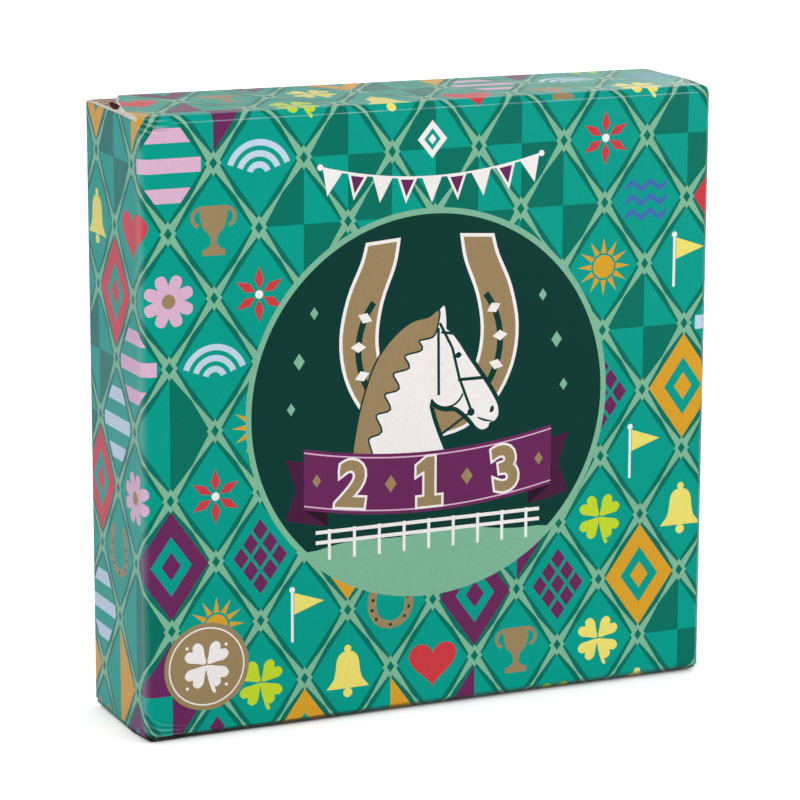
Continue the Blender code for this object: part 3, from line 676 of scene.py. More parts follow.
class Blank:
    """A flat blank that folds to a tray, with glued tabs on its side walls.

    mouth is the side that is open: +1 for +Y and -1 for -Y.
    """

    def __init__(self, node_name, radius, score, mouth):
        self.centre, (self.width, self.depth, self.height) = middle_and_size(node_name)
        self.radius = radius
        self.score = score
        self.mouth = mouth
        self.facet = (radius - score) / math.sin(HALF_FOLD)
        self.bend = score * HALF_FOLD
        self.fold = 2 * self.bend + self.facet
        self.a = self.width / 2 - radius
        self.b = self.height / 2 - radius
        self.end = self.fold + self.depth - radius
        self.tab_level = self.height / 2 - BOARD - GLUE_GAP
        self.tab_start = self.tab_level - TAB_BEND

    def profile(self, s):
        """How far a fold has gone outwards and back after a distance s."""
        half = math.sin(HALF_FOLD)
        first = np.clip(s, 0, self.bend) / self.score
        flat = np.clip(s - self.bend, 0, self.facet)
        second = np.clip(s - self.bend - self.facet, 0, self.bend) / self.score
        rest = np.clip(s - self.fold, 0, None)
        out = (self.score * np.sin(first) + flat * half
               + self.score * (np.sin(HALF_FOLD + second) - half))
        back = (self.score * (1 - np.cos(first)) + flat * half
                + self.score * (half - np.cos(HALF_FOLD + second)) + rest)
        return out, back

    def side_mask(self, u, v):
        """Where a point belongs to a side wall, or to its tabs.

        Tabs reach further up than out, so they are told by where they start.
        """
        du, dv = np.abs(u) - self.a, np.abs(v) - self.b
        return (du > 0) & ((du >= dv) | (du > self.fold))

    def folded(self, u, v, side):
        """Folded places in millimetres, before any wear."""
        su, sv = np.sign(u), np.sign(v)
        du, dv = np.abs(u) - self.a, np.abs(v) - self.b
        out, back = self.profile(np.maximum(du, 0))
        x_side = su * (np.minimum(np.abs(u), self.a) + out)
        beyond = np.abs(v) - self.tab_start
        ease = unit((du - self.fold) / 2.0)
        turn = np.clip(beyond, 0, TAB_BEND * math.pi / 2) / TAB_BEND
        inward = TAB_BEND * (1 - np.cos(turn)) + np.clip(beyond - TAB_BEND * math.pi / 2, 0, None)
        rise = np.where(beyond > 0, self.tab_start + TAB_BEND * np.sin(turn), np.abs(v))
        x_side = x_side - su * inward * ease
        z_side = sv * (rise * ease + np.abs(v) * (1 - ease))
        out_v, back_v = self.profile(np.maximum(dv, 0))
        z_top = sv * (np.minimum(np.abs(v), self.b) + out_v)
        x = np.where(side, x_side, u)
        y = np.where(side, back, back_v)
        z = np.where(side, z_side, z_top)
        return np.stack([x, self.mouth * (y - self.depth / 2), z], axis=-1)

    def worn(self, u, v, side, wear):
        """Folded places with the wear, a pair of functions, added to them.

        The first gives a height along the normal, the second moves the places.
        """
        place = self.folded(u, v, side)
        if wear is None:
            return place
        normal = self.normal_of(lambda p, q: self.folded(p, q, side), u, v)
        height, bruise = wear
        return bruise(self, place + normal * height(self, u, v, side)[..., None])

    def normal_of(self, surface, u, v):
        """The outward normal of a surface over the blank."""
        along = surface(u + NORMAL_STEP, v) - surface(u - NORMAL_STEP, v)
        up = surface(u, v + NORMAL_STEP) - surface(u, v - NORMAL_STEP)
        normal = np.cross(along, up) * self.mouth
        return normal / np.maximum(np.linalg.norm(normal, axis=-1, keepdims=True), 1e-12)

    def corner(self, inset):
        """One corner of the outline, as distances past the panel's flat part.

        It runs from the rim of the side wall, round the tab, to the panel's
        corner, and out again along the top wall to its rim.
        """
        level = self.radius - BOARD - GLUE_GAP
        tab_end = (self.tab_start - self.b) + TAB_BEND * math.pi / 2 + TAB_LENGTH - TAB_BEND
        tab_from = self.fold + TAB_SETBACK
        tab_to = self.end - TAB_SETBACK
        line = [(self.end, level), (tab_to, level), (tab_to - TAB_TAPER, tab_end),
                (tab_from + TAB_TAPER, tab_end), (tab_from, level)]
        steps = np.linspace(self.fold, 0, 13)
        mitre = [(s, float(self.profile(np.array(s))[0])) for s in steps]
        line += [(s, min(out, level)) for s, out in mitre]
        line += [(out, s) for s, out in reversed(mitre[:-1])]
        line += [(self.radius - inset, self.fold + 3.0), (self.radius - inset, self.end)]
        return line

    def outline(self):
        """The whole outline of the blank, counter-clockwise."""
        points = []
        for su, sv, order in ((1, 1, 1), (-1, 1, -1), (-1, -1, 1), (1, -1, -1)):
            corner = self.corner(BOTTOM_INSET if sv < 0 else 0.0)
            points += [(su * (self.a + du), sv * (self.b + dv)) for du, dv in corner[::order]]
        return points

    def guides(self, spacing):
        """Lines that the mesh follows: along the folds and over the walls."""
        reach_u, reach_v = self.a + self.end, self.b + self.end
        past = np.concatenate([np.linspace(0, self.bend, 5),
                               np.linspace(self.bend + self.facet, self.fold, 5)])
        bends = self.tab_start - self.b + np.linspace(0, TAB_BEND * math.pi / 2, 6)
        lines = []
        for sign in (-1, 1):
            for s in past:
                u, v = sign * (self.a + s), sign * (self.b + s)
                lines.append(((u, -self.b - self.radius), (u, self.b + self.radius)))
                lines.append(((-self.a - self.radius, v), (self.a + self.radius, v)))
            for s in bends:
                for side in (-1, 1):
                    lines.append(((side * (self.a + self.fold), sign * (self.b + s)),
                                  (side * reach_u, sign * (self.b + s))))
        for u in np.arange(-reach_u + spacing / 2, reach_u, spacing):
            lines.append(((u, -reach_v), (u, reach_v)))
        for v in np.arange(-reach_v + spacing / 2, reach_v, spacing):
            lines.append(((-reach_u, v), (reach_u, v)))
        return lines


def covered(points, shape):
    """Which points are inside an outline, by their winding number."""
    corners = np.array(shape, dtype=float)
    low, high = corners.min(axis=0), corners.max(axis=0)
    near = np.flatnonzero(np.all((points >= low) & (points <= high), axis=1))
    x, y = points[near, 0], points[near, 1]
    winding = np.zeros(len(near), dtype=int)
    for (x0, y0), (x1, y1) in zip(corners, np.roll(corners, -1, axis=0)):
        side = (x1 - x0) * (y - y0) - (x - x0) * (y1 - y0)
        winding += (y0 <= y) & (y1 > y) & (side > 0)
        winding -= (y0 > y) & (y1 <= y) & (side < 0)
    return near[winding != 0]


# Points closer than this are one, and smaller triangles are dropped
MERGE_DISTANCE = 1e-4
SMALLEST_AREA = 1e-7


def triangulated(outline, layers, guides):
    """Cuts the flat artwork into triangles, each with the ink on top of it."""
    points, edges = [], []
    for shape in [outline] + [shape for _, shape in layers]:
        start, count = len(points), len(shape)
        points += [Vector((float(u), float(v))) for u, v in shape]
        edges += [(start + i, start + (i + 1) % count) for i in range(count)]
    for start, end in guides:
        edges.append((len(points), len(points) + 1))
        points += [Vector((float(start[0]), float(start[1]))),
                   Vector((float(end[0]), float(end[1])))]
    places, _, cells, *_ = delaunay_2d_cdt(points, edges, [], 0, MERGE_DISTANCE)
    flat = np.array([(p[0], p[1]) for p in places])
    cells = np.array(cells)
    middles = flat[cells].mean(axis=1)
    top = np.full(len(cells), -1)
    for index, (_, shape) in enumerate(layers):
        top[covered(middles, shape)] = index
    kept = np.zeros(len(cells), dtype=bool)
    kept[covered(middles, outline)] = True
    inks = [None if i < 0 else layers[i][0] for i in top]
    first, second = (flat[cells[:, k]] - flat[cells[:, 0]] for k in (1, 2))
    kept &= np.abs(first[:, 0] * second[:, 1] - first[:, 1] * second[:, 0]) > SMALLEST_AREA
    used, corners = np.unique(cells[kept], return_inverse=True)
    return flat[used], corners.reshape(-1, 3), [ink for ink, keep in zip(inks, kept) if keep]


def folded_shell(name, blank, layers, base_ink, guides, finishes, wear=None, crush=None, painted_light=None):
    """A closed shell of board, folded from the flat artwork.

    finishes are the materials of the printed side, the inside and the edges.
    crush gives how much thinner the board is, and the last argument the painted
    sheen, highlights and shade of the print.
    """
    flat, triangles, inks = triangulated(blank.outline(), layers, guides)
    u, v = flat[:, 0], flat[:, 1]
    middle = flat[triangles].mean(axis=1)
    side_of_face = blank.side_mask(middle[:, 0], middle[:, 1])
    count = len(flat)
    keys = triangles + np.where(side_of_face, count, 0)[:, None]
    used, corners = np.unique(keys, return_inverse=True)
    corners = corners.reshape(triangles.shape)
    side = used >= count
    u, v = u[used % count], v[used % count]
    outer = blank.worn(u, v, side, wear)
    normal = blank.normal_of(lambda p, q: blank.worn(p, q, side, wear), u, v)
    thickness = BOARD - (crush(blank, u, v, side) if crush else 0.0)
    inner = outer - normal * (thickness * np.ones(len(u)))[:, None]
    half = np.array([blank.width, blank.depth, blank.height]) / 2
    outer, inner = np.clip(outer, -half, half), np.clip(inner, -half, half)
    turn = 1 if blank.mouth > 0 else -1
    triangles = corners[:, ::turn]
    # Painted sheen, highlights and shadows on the print, as an amount at each point
    shade = painted_light(blank, u, v, side) if painted_light else None
    from_panel = blank.mouth * outer[:, 1] + blank.depth / 2
    wrapped = (from_panel < blank.radius + WRAP) | (outer[:, 2] < 2 * BOARD - blank.height / 2)
    return shell_from(name, outer, inner, normal, triangles, inks, base_ink, blank.centre, finishes,
                      shade, wrapped)


def shell_from(name, outer, inner, normal, triangles, inks, base_ink, centre, finishes,
               shade=None, wrapped=None):
    """Joins outer and inner skins with a rim into one mesh object.

    shade is painted light and shade: above 0 it pales the print with a painted
    sheen and painted highlights, below 0 it darkens it with painted shade, and the
    print goes on over the rim between points that are wrapped.
    """
    rounded = np.round(outer, 4)
    same = np.unique(rounded, axis=0, return_inverse=True)[1].reshape(-1)
    total = len(outer)
    edges = {(same[p], same[q]) for a, b, c in triangles for p, q in ((a, b), (b, c), (c, a))}
    rim, rim_inks = [], []
    for (a, b, c), ink in zip(triangles, inks):
        for p, q in ((a, b), (b, c), (c, a)):
            if (same[q], same[p]) not in edges:
                rim.append((q, p, p + total, q + total))
                printed = wrapped is not None and wrapped[p] and wrapped[q]
                rim_inks.append((ink or base_ink) if printed else None)
    triangles = [tuple(int(i) for i in t) for t in triangles]
    faces = (triangles + [tuple(i + total for i in t[::-1]) for t in triangles]
             + [tuple(int(i) for i in quad) for quad in rim])
    places = (np.concatenate([outer, inner]) + centre) * MM
    mesh = bpy.data.meshes.new(name)
    mesh.from_pydata(places.tolist(), [], faces)
    count = len(triangles)
    face_index = [3 if ink and ink.startswith("torn") else 0 for ink in inks]
    rim_index = [2 if ink is None else 0 for ink in rim_inks]
    material_index = np.concatenate([np.array(face_index), np.ones(count), np.array(rim_index)])
    mesh.polygons.foreach_set("material_index", material_index.astype(np.int32))
    for finish in finishes:
        mesh.materials.append(finish)
    paint = mesh.color_attributes.new("ink", "FLOAT_COLOR", "CORNER")
    palette = {key: linear(code) for key, code in INKS.items()}
    colours = np.array([palette[ink or base_ink] for ink in inks for _ in range(3)])
    # Painted light: a painted cool sheen and painted highlights pale the print, and painted shade
    # darkens it
    if shade is not None:
        amount = shade[np.array(triangles).ravel()][:, None]
        worn = unit((amount - PAINTED_SHEEN_ONLY) / (RUB_AND_HIGHLIGHT_ONLY - PAINTED_SHEEN_ONLY))
        towards = np.array(linear(PAINTED_SHEEN)) * (1 - worn) + np.array(linear(RUB_AND_HIGHLIGHT)) * worn
        pale = colours + (towards - colours) * unit(amount)
        colours = np.where(amount > 0, pale, colours * (1 + np.clip(amount, -1, 0)))
        colours[:, 3] = 1.0
    inside_colours = np.tile(np.array(palette["white"]), (3 * count, 1))
    rim_colours = np.array([palette[ink or "white"] for ink in rim_inks for _ in range(4)])
    # Painted shade on the wrapped rims, as on the print beside them
    if shade is not None:
        dark = np.clip([shade[i % total] if ink else 0.0
                        for quad, ink in zip(rim, rim_inks) for i in quad], -1, 0)
        rim_colours[:, :3] *= 1 + dark[:, None]
    everything = np.concatenate([colours, inside_colours, rim_colours])
    paint.data.foreach_set("color", everything.astype(np.float32).ravel())
    mesh.polygons.foreach_set("use_smooth", np.ones(len(faces), dtype=bool))
    mesh.update()
    loop_normals = [normal[i] for t in triangles for i in t]
    loop_normals += [-normal[i] for t in triangles for i in t[::-1]]
    for k in range(len(rim)):
        loop_normals += [mesh.polygons[2 * count + k].normal] * 4
    mesh.normals_split_custom_set([tuple(n) for n in loop_normals])
    return in_scene(name, mesh)


# Materials

def material(name):
    """A new node material, its tree and its Principled shader."""
    made = bpy.data.materials.new(name)
    made.use_nodes = True
    return made, made.node_tree, made.node_tree.nodes["Principled BSDF"]


def feed(made, inputs):
    """Sets a node's inputs, each from a socket or a value."""
    for key, value in inputs.items():
        if isinstance(value, bpy.types.NodeSocket):
            made.id_data.links.new(value, made.inputs[key])
        else:
            made.inputs[key].default_value = value


def node(tree, kind, inputs=None, **settings):
    """A new node with its properties and inputs set."""
    made = tree.nodes.new(kind)
    for key, value in settings.items():
        setattr(made, key, value)
    feed(made, inputs or {})
    return made


def maths(tree, operation, *values):
    """The outcome of a calculation on sockets or numbers."""
    made = node(tree, "ShaderNodeMath", dict(enumerate(values)), operation=operation)
    return made.outputs["Value"]


def coordinates(tree, kind="Object"):
    """A socket with the object coordinates, or with the normal."""
    return node(tree, "ShaderNodeTexCoord").outputs[kind]


def noise(tree, scale, detail, roughness=0.55, stretch=(1.0, 1.0, 1.0)):
    """Noise over object coordinates; returns its factor socket."""
    mapping = node(tree, "ShaderNodeMapping", {"Vector": coordinates(tree), "Scale": stretch})
    texture = node(tree, "ShaderNodeTexNoise", {
        "Vector": mapping.outputs["Vector"], "Scale": scale, "Detail": detail,
        "Roughness": roughness})
    return texture.outputs["Fac"]


def waves_along(tree, axis, inputs):
    """Bands along an axis of the object; returns their factor socket."""
    texture = node(tree, "ShaderNodeTexWave", {"Vector": coordinates(tree), **inputs},
                   wave_type="BANDS", bands_direction=axis)
    return texture.outputs["Fac"]


def ramp(tree, factor, stops):
    """A colour ramp on a factor; stops are (position, colour)."""
    made = node(tree, "ShaderNodeValToRGB", {"Fac": factor})
    for element, (position, colour) in zip(made.color_ramp.elements, stops):
        element.position = position
        element.color = colour
    return made.outputs["Color"]


def ranged(tree, factor, low, high, start=0.3, end=0.7):
    """A factor stretched from start and end to low and high."""
    made = node(tree, "ShaderNodeMapRange", {
        "Value": factor, "From Min": start, "From Max": end, "To Min": low, "To Max": high})
    return made.outputs["Result"]


def mixed(tree, blend, factor, first, second):
    """Mixes two colours; each may be a socket or a value."""
    made = node(tree, "ShaderNodeMix", {0: factor, 6: first, 7: second},
                data_type="RGBA", blend_type=blend)
    return made.outputs[2]


def shaded(tree, colour, factor):
    """A colour made lighter or darker by a factor."""
    grey = node(tree, "ShaderNodeCombineColor", dict.fromkeys(("Red", "Green", "Blue"), factor))
    return mixed(tree, "MULTIPLY", 1.0, colour, grey.outputs["Color"])


def bumped(tree, shader, height, strength, distance):
    """Adds a bump from a height socket."""
    made = node(tree, "ShaderNodeBump",
                {"Height": height, "Strength": strength, "Distance": distance})
    feed(shader, {"Normal": made.outputs["Normal"]})


def mix_of(first, second, share):
    """A colour part of the way from the first to the second."""
    return tuple(a + (b - a) * share for a, b in zip(first, second))


def faces_front(tree):
    """1 where the surface looks to the front or back, and 0 on the sides."""
    parts = node(tree, "ShaderNodeSeparateXYZ", {"Vector": coordinates(tree, "Normal")})
    return maths(tree, "GREATER_THAN", maths(tree, "ABSOLUTE", parts.outputs["Y"]), 0.7)


def ink_colour(tree):
    """The socket with the print's colour."""
    return node(tree, "ShaderNodeVertexColor", layer_name="ink").outputs["Color"]


def print_finish(name):
    """Inks under a satin laminate, with faint mottling and paper tooth."""
    made, tree, shader = material(name)
    mottle = ranged(tree, noise(tree, 900.0, 4.0), 0.94, 1.05)
    cloud = ranged(tree, noise(tree, 14.0, 3.0), 0.97, 1.03)
    feed(shader, {
        "Base Color": shaded(tree, ink_colour(tree), maths(tree, "MULTIPLY", mottle, cloud)),
        "Roughness": ranged(tree, noise(tree, 60.0, 5.0), 0.30, 0.40),
        "Specular IOR Level": 0.07})
    bumped(tree, shader, noise(tree, 700.0, 3.0), 0.06, 0.0004)
    return made


def torn_finish(name):
    """Board with its printed paper torn off: matt and fibrous."""
    made, tree, shader = material(name)
    fibres = noise(tree, 420.0, 6.0, 0.7, (0.35, 1.6, 1.0))
    tone = ramp(tree, fibres, [(0.32, (0.62, 0.56, 0.52, 1.0)), (0.66, (1.08, 1.06, 1.04, 1.0))])
    feed(shader, {"Base Color": mixed(tree, "MULTIPLY", 1.0, ink_colour(tree), tone),
                  "Roughness": 0.95, "Specular IOR Level": 0.05})
    bumped(tree, shader, fibres, 0.6, 0.0005)
    return made


def board_finish(name, light, dark, scale=260.0):
    """Unprinted board: fibres and flecks, matt."""
    made, tree, shader = material(name)
    fibres = noise(tree, scale, 6.0, 0.7, (1.0, 1.0, 3.0))
    feed(shader, {"Base Color": ramp(tree, fibres, [(0.35, linear(dark)), (0.65, linear(light))]),
                  "Roughness": 0.85})
    bumped(tree, shader, fibres, 0.25, 0.0003)
    return made


def edge_finish(name, light, dark):
    """A cut edge of board, with loose fibres."""
    made, tree, shader = material(name)
    fibres = noise(tree, 900.0, 4.0, 0.7)
    feed(shader, {"Base Color": ramp(tree, fibres, [(0.38, linear(dark)), (0.62, linear(light))]),
                  "Roughness": 0.9})
    bumped(tree, shader, fibres, 0.5, 0.0004)
    return made


def sheet_edge_finish(name, paper, shade, pitch):
    """Paper sheets in a pile: fine layers on the sides, plain paper in front."""
    made, tree, shader = material(name)
    layers = waves_along(tree, "Y", {"Scale": pitch, "Distortion": 1.2, "Detail": 2.0,
                                     "Detail Scale": 3.0})
    sides = ramp(tree, layers, [(0.15, shade), (0.6, paper)])
    fibres = ramp(tree, noise(tree, 500.0, 5.0, 0.65),
                  [(0.3, mix_of(paper, shade, 0.35)), (0.65, paper)])
    feed(shader, {"Base Color": mixed(tree, "MIX", faces_front(tree), sides, fibres),
                  "Roughness": 0.85})
    bumped(tree, shader, layers, 0.35, 0.0002)
    return made


def corrugated_finish(name, liner, flute, shadow):
    """White board; its cut edges show the flutes between two liners."""
    made, tree, shader = material(name)
    liner, flute, shadow = linear(liner), linear(flute), linear(shadow)
    parts = node(tree, "ShaderNodeSeparateXYZ", {"Vector": coordinates(tree)})
    along = maths(tree, "ADD", parts.outputs["X"], parts.outputs["Z"])
    wave = maths(tree, "SINE", maths(tree, "MULTIPLY", along, math.tau / (FLUTE_PITCH * MM)))
    steep = ranged(tree, wave, 0.0, 1.0, -0.45, 0.45)
    flutes = ramp(tree, steep, [(0.1, shadow), (0.7, flute)])
    fibres = noise(tree, 420.0, 6.0, 0.7)
    faces = ramp(tree, fibres, [(0.3, mix_of(liner, flute, 0.3)), (0.62, liner)])
    feed(shader, {"Base Color": mixed(tree, "MIX", faces_front(tree), faces, flutes),
                  "Roughness": 0.8})
    bumped(tree, shader, fibres, 0.12, 0.0003)
    return made


def cloth_finish(name, light, dark, pitch, sheen=0.0, roughness=0.8):
    """A plain weave of two crossing waves."""
    made, tree, shader = material(name)
    threads = [waves_along(tree, axis, {"Scale": pitch, "Distortion": 0.8, "Detail": 1.5})
               for axis in ("X", "Z")]
    weave = maths(tree, "MULTIPLY", *threads)
    colour = ramp(tree, weave, [(0.05, linear(dark)), (0.5, linear(light))])
    blotch = ranged(tree, noise(tree, 35.0, 3.0), 0.93, 1.05)
    feed(shader, {"Base Color": shaded(tree, colour, blotch), "Roughness": roughness,
                  "Sheen Weight": sheen})
    bumped(tree, shader, weave, 0.4, 0.0002)
    return made


def steel_finish(name):
    """Drawn steel wire with fine streaks."""
    made, tree, shader = material(name)
    streaks = noise(tree, 300.0, 3.0, 0.5, (1.0, 1.0, 0.1))
    feed(shader, {
        "Base Color": ramp(tree, streaks, [(0.3, linear("#9FA3A8")), (0.7, linear("#D3D6DA"))]),
        "Metallic": 1.0, "Roughness": ranged(tree, streaks, 0.22, 0.38)})
    return made


# The lid's torn rear end, as (place, depth), and how much of the board is off there
TEAR = [(-126.0, 12.0), (-124.4, 18.0), (-122.8, 25.0), (-121.4, 31.0), (-119.0, 37.5),
        (-117.8, 42.5), (-114.8, 49.0), (-113.2, 54.0), (-110.8, 60.0)]
TEAR_PLACES, TEAR_DEPTHS = zip(*TEAR)
TEAR_OFF = 1.2
# Bow of the front, and the ripples at the left corners
BOW = 0.45
BOW_RIPPLE = 0.10
CREASE_HEIGHT, CREASE_SINK = 0.15, 0.17
DENT_HEIGHT, DENT_SINK = 0.22, 0.25
# How much narrower and lower the lid is than its box
LEFT_SHRINK = 0.9955
RIGHT_SHRINK = 0.9975
TOP_SHRINK = 0.9955
# How far the side walls spread at their rims, and the bottom and the top wall lift
LEFT_FLARE = 0.60
RIGHT_FLARE = 0.30
REAR_RISE = 1.6
FRONT_RISE = ([-118.0, -105.0, -60.0, -20.0, 40.0, 125.0], [0.0, 0.45, 0.4, 0.8, 1.1, 1.1])
RISE_HEIGHT = 70.0
TOP_RISE = 1.15
# Blunted front corners: side, top or bottom, and radius
CORNERS = ((-1, -1, 5.0), (1, 1, 4.0), (-1, 1, 1.6), (1, -1, 3.0))
CORNER_REACH = 20.0


def along_wall(blank, distance):
    """The flat distance past a fold line of a place on a wall, by its depth."""
    return distance - blank.radius + blank.fold


def creases(du, dv):
    """Ripples that fan out from the lid's lower left corner: how near, and the phase."""
    rise = (dv + 2.5) * (1 + np.clip(du, -6, 30) / 16.0)
    near = np.exp(-((du - 4.0) / np.where(du > 4.0, 15.0, 8.0)) ** 2)
    near = near * unit((11.5 - rise) / 2.5) * unit((dv + 4.5) / 2.0)
    near = near * (0.75 + 0.25 * np.sin(du / 3.7 + dv * 0.8))
    return near, 2.2 * rise + np.sin(du / 3.6 + 0.5) + 0.4 * np.sin(du / 1.9)


def dents(du, dv):
    """Crushed folds at the lid's upper left corner, as how near and at which phase."""
    near = np.exp(-((du - 2.0) / 6.0) ** 2 - (dv / 3.6) ** 2)
    return near, dv * 2.3 + du * 0.40 + np.sin(du / 2.2)


def lid_crush(blank, u, v, side):
    """How much of the board is torn off the rear left end of the top wall."""
    depth = v - blank.b + blank.radius - blank.fold
    edge = np.interp(depth, TEAR_DEPTHS, TEAR_PLACES)
    torn = unit((edge - u) / 1.1) * unit((depth - 20.0) / 12.0)
    return np.where(side, 0.0, TEAR_OFF * torn)


def lid_wear(blank, u, v, side):
    """Bows, ripples and bruises of the lid, in millimetres along its normal."""
    on_face = (np.abs(u) < blank.a) & (np.abs(v) < blank.b)
    bow = np.where(on_face, (1 - (u / blank.a) ** 2) * (1 - (v / blank.b) ** 2), 0.0)
    height = -BOW * bow + BOW_RIPPLE * bow * np.sin(u / 23.0 + 1.0) * np.cos(v / 31.0)
    near, phase = creases(u + blank.a, v + blank.b)
    height = height + near * (CREASE_HEIGHT * np.sin(phase) - CREASE_SINK)
    near, phase = dents(u + blank.a, v - blank.b)
    height = height + near * (DENT_HEIGHT * np.sin(phase) - DENT_SINK)
    return height - lid_crush(blank, u, v, side)


def lid_bruise(blank, place):
    """Spreads the lid's rim, blunts its front corners and keeps it in its box."""
    x, y, z = place[..., 0], place[..., 1], place[..., 2]
    x = x * np.where(x < 0, LEFT_SHRINK, RIGHT_SHRINK)
    z = (z + blank.height / 2) * TOP_SHRINK - blank.height / 2
    depth = y + blank.depth / 2
    share = unit(depth / blank.depth)
    spread = unit(0.5 + z / blank.height) ** 1.5 * share ** 1.3
    outer = unit((np.abs(x) - 90.0) / 30.0)
    x = x + outer * spread * np.where(x < 0, -LEFT_FLARE, RIGHT_FLARE)
    fade = unit(1 - depth / CORNER_REACH)
    top = blank.height * TOP_SHRINK - blank.height / 2
    for side_x, side_z, size in CORNERS:
        radius = size * fade
        half = blank.width / 2 * (LEFT_SHRINK if side_x < 0 else RIGHT_SHRINK)
        limit = top if side_z > 0 else blank.height / 2
        dx = side_x * x - (half - radius)
        dz = side_z * z - (limit - radius)
        blunt = (dx > 0) & (dz > 0) & (radius > 0.01)
        ratio = np.maximum(dx, dz) / np.maximum(np.hypot(dx, dz), 1e-9)
        x = np.where(blunt, side_x * (half - radius + dx * ratio), x)
        z = np.where(blunt, side_z * (limit - radius + dz * ratio), z)
    low = unit(1 - (z + blank.height / 2) / RISE_HEIGHT)
    z = z + REAR_RISE * share * low * unit(0.5 - x / blank.width)
    z = z + np.interp(x, *FRONT_RISE) * (1 - share) * low
    high = unit((z - blank.height / 2 + 30.0) / 20.0)
    z = z + TOP_RISE * high * unit(0.5 - x / blank.width) * share ** 1.3
    return np.stack([np.clip(x, -blank.width / 2, blank.width / 2), np.maximum(y, -blank.depth / 2),
                     np.clip(z, -blank.height / 2, blank.height / 2)], axis=-1)


def lid_rub(blank, u, v, side):
    """Painted light and shade on the print: painted sheen and highlights on the folds, ripples and
    dents (partly rubbed laminate at the top fold's scores), and painted shadow under the bottom
    fold and in the ripples' troughs.
    """
    def line(distance, place, width):
        return unit(1 - np.abs(distance - place) / width)

    du, dv = np.abs(u) - blank.a, np.abs(v) - blank.b
    middle = blank.bend / 2
    uneven = 0.75 + 0.25 * np.sin(u / 7.3 + 1.1 * np.sin(u / 3.1))
    across = unit((blank.a - np.abs(u)) / 4.0)
    across = np.where(v > 0, across, 0.0)
    # Painted highlights along the top fold's two creases, partly rubbed laminate at the scores
    shade = 0.40 * uneven * across * line(dv, middle, 0.36)
    shade = shade + 0.12 * across * line(dv, blank.fold - middle, 0.36)
    # Painted sheen along the side folds, stronger on the left
    along = unit((blank.b + 2 - np.abs(v)) / 4.0)
    shade = shade + np.where(u < 0, 0.17, 0.06) * along * line(du, blank.fold - middle, 2.0)
    # A painted cool sheen over the left wall
    shade = shade + np.where((u < 0) & side & (du >= blank.fold), 0.045, 0.0)
    # Painted shadow on the bottom fold's underside, under the front
    thin = unit((u + 40.0) / 100.0)
    under = unit((dv - 0.3 - 1.3 * thin) / 1.2) * (0.75 + 0.20 * unit((-u - 20.0) / 60.0))
    shade = shade - np.where((v < 0) & ~side & (dv < blank.fold), under, 0.0)
    # Painted shadow where the left wall's fold turns under at the bottom
    shade = shade - np.where((v < 0) & (u < 0) & side & (du < blank.fold),
                             0.85 * unit(dv / 1.2), 0.0)
    # Painted shadow on the bottom wall and its rim, darkest near the front
    seam = 0.35 + 0.60 * unit((30.0 - dv) / 16.0)
    shade = shade - np.where((v < 0) & ~side & (dv >= blank.fold), seam, 0.0)
    # Painted highlights on the ripples' crests and painted shade in their troughs
    near, phase = creases(u + blank.a, v + blank.b)
    ridge = np.sin(phase + 0.5)
    shade = shade + near * (0.30 * unit((ridge - 0.6) / 0.4) - 0.55 * unit((-ridge - 0.45) / 0.55))
    # Painted highlights and painted shade on the dents at the upper left corner
    near, phase = dents(u + blank.a, v - blank.b)
    ridge = np.sin(phase + 0.4)
    shade = shade + near * (0.45 * unit((ridge - 0.55) / 0.45) - 0.60 * unit((-ridge - 0.5) / 0.5))
    return shade


def torn_corner(layers, blank):
    """The rear left end of the top wall, where the print has come off the board, with painted shade
    in a break in the board.
    """
    def torn(shape, ink):
        layers.append(("torn_" + ink,
                       [(u, blank.b + along_wall(blank, depth)) for u, depth in shape]))

    torn([(u + 0.25 + 0.3 * math.sin(7 * i), depth - 0.3) for i, (u, depth) in enumerate(TEAR)]
         + [(-127.0, 60.0)], "white")
    inner = [(u - 0.7 + 0.35 * math.sin(5 * i), depth + 0.4) for i, (u, depth) in enumerate(TEAR)]
    torn(inner + [(-127.0, 60.0)], "fog")
    streaks = (("blush", 28.0, 2.0), ("tan", 31.5, 1.2), ("cream", 35.0, 2.2), ("tan", 44.5, 1.3),
               ("blush", 47.5, 1.8), ("tan", 50.5, 0.9), ("cream", 53.0, 1.5), ("tan", 56.0, 1.2))
    for ink, depth, width in streaks:
        line = np.linspace(-125.5, float(np.interp(depth, TEAR_DEPTHS, TEAR_PLACES)) - 1.2, 7)
        upper = [(u, depth + width * (0.7 + 0.3 * math.sin(2.1 * u)) / 2 + 0.25 * (u + 120))
                 for u in line]
        lower = [(u, depth - width * (0.7 + 0.3 * math.sin(1.7 * u + 1)) / 2 + 0.25 * (u + 120))
                 for u in line[::-1]]
        torn(upper + lower, ink)
    # A dark patch where the board is broken open: kraft brown darkened as painted shade of the hole
    torn(smooth([(-123.2, 33.0), (-121.6, 30.0), (-118.6, 41.0), (-117.0, 49.5), (-119.4, 47.5),
                 (-121.4, 41.0)], 4), "hole_shade")
    torn([(-127.0, 6.0), (-124.4, 6.0), (-123.9, 12.0), (-124.2, 19.0), (-122.9, 26.0),
          (-123.4, 34.0), (-123.0, 44.0), (-123.6, 60.0), (-127.0, 60.0)], "white")


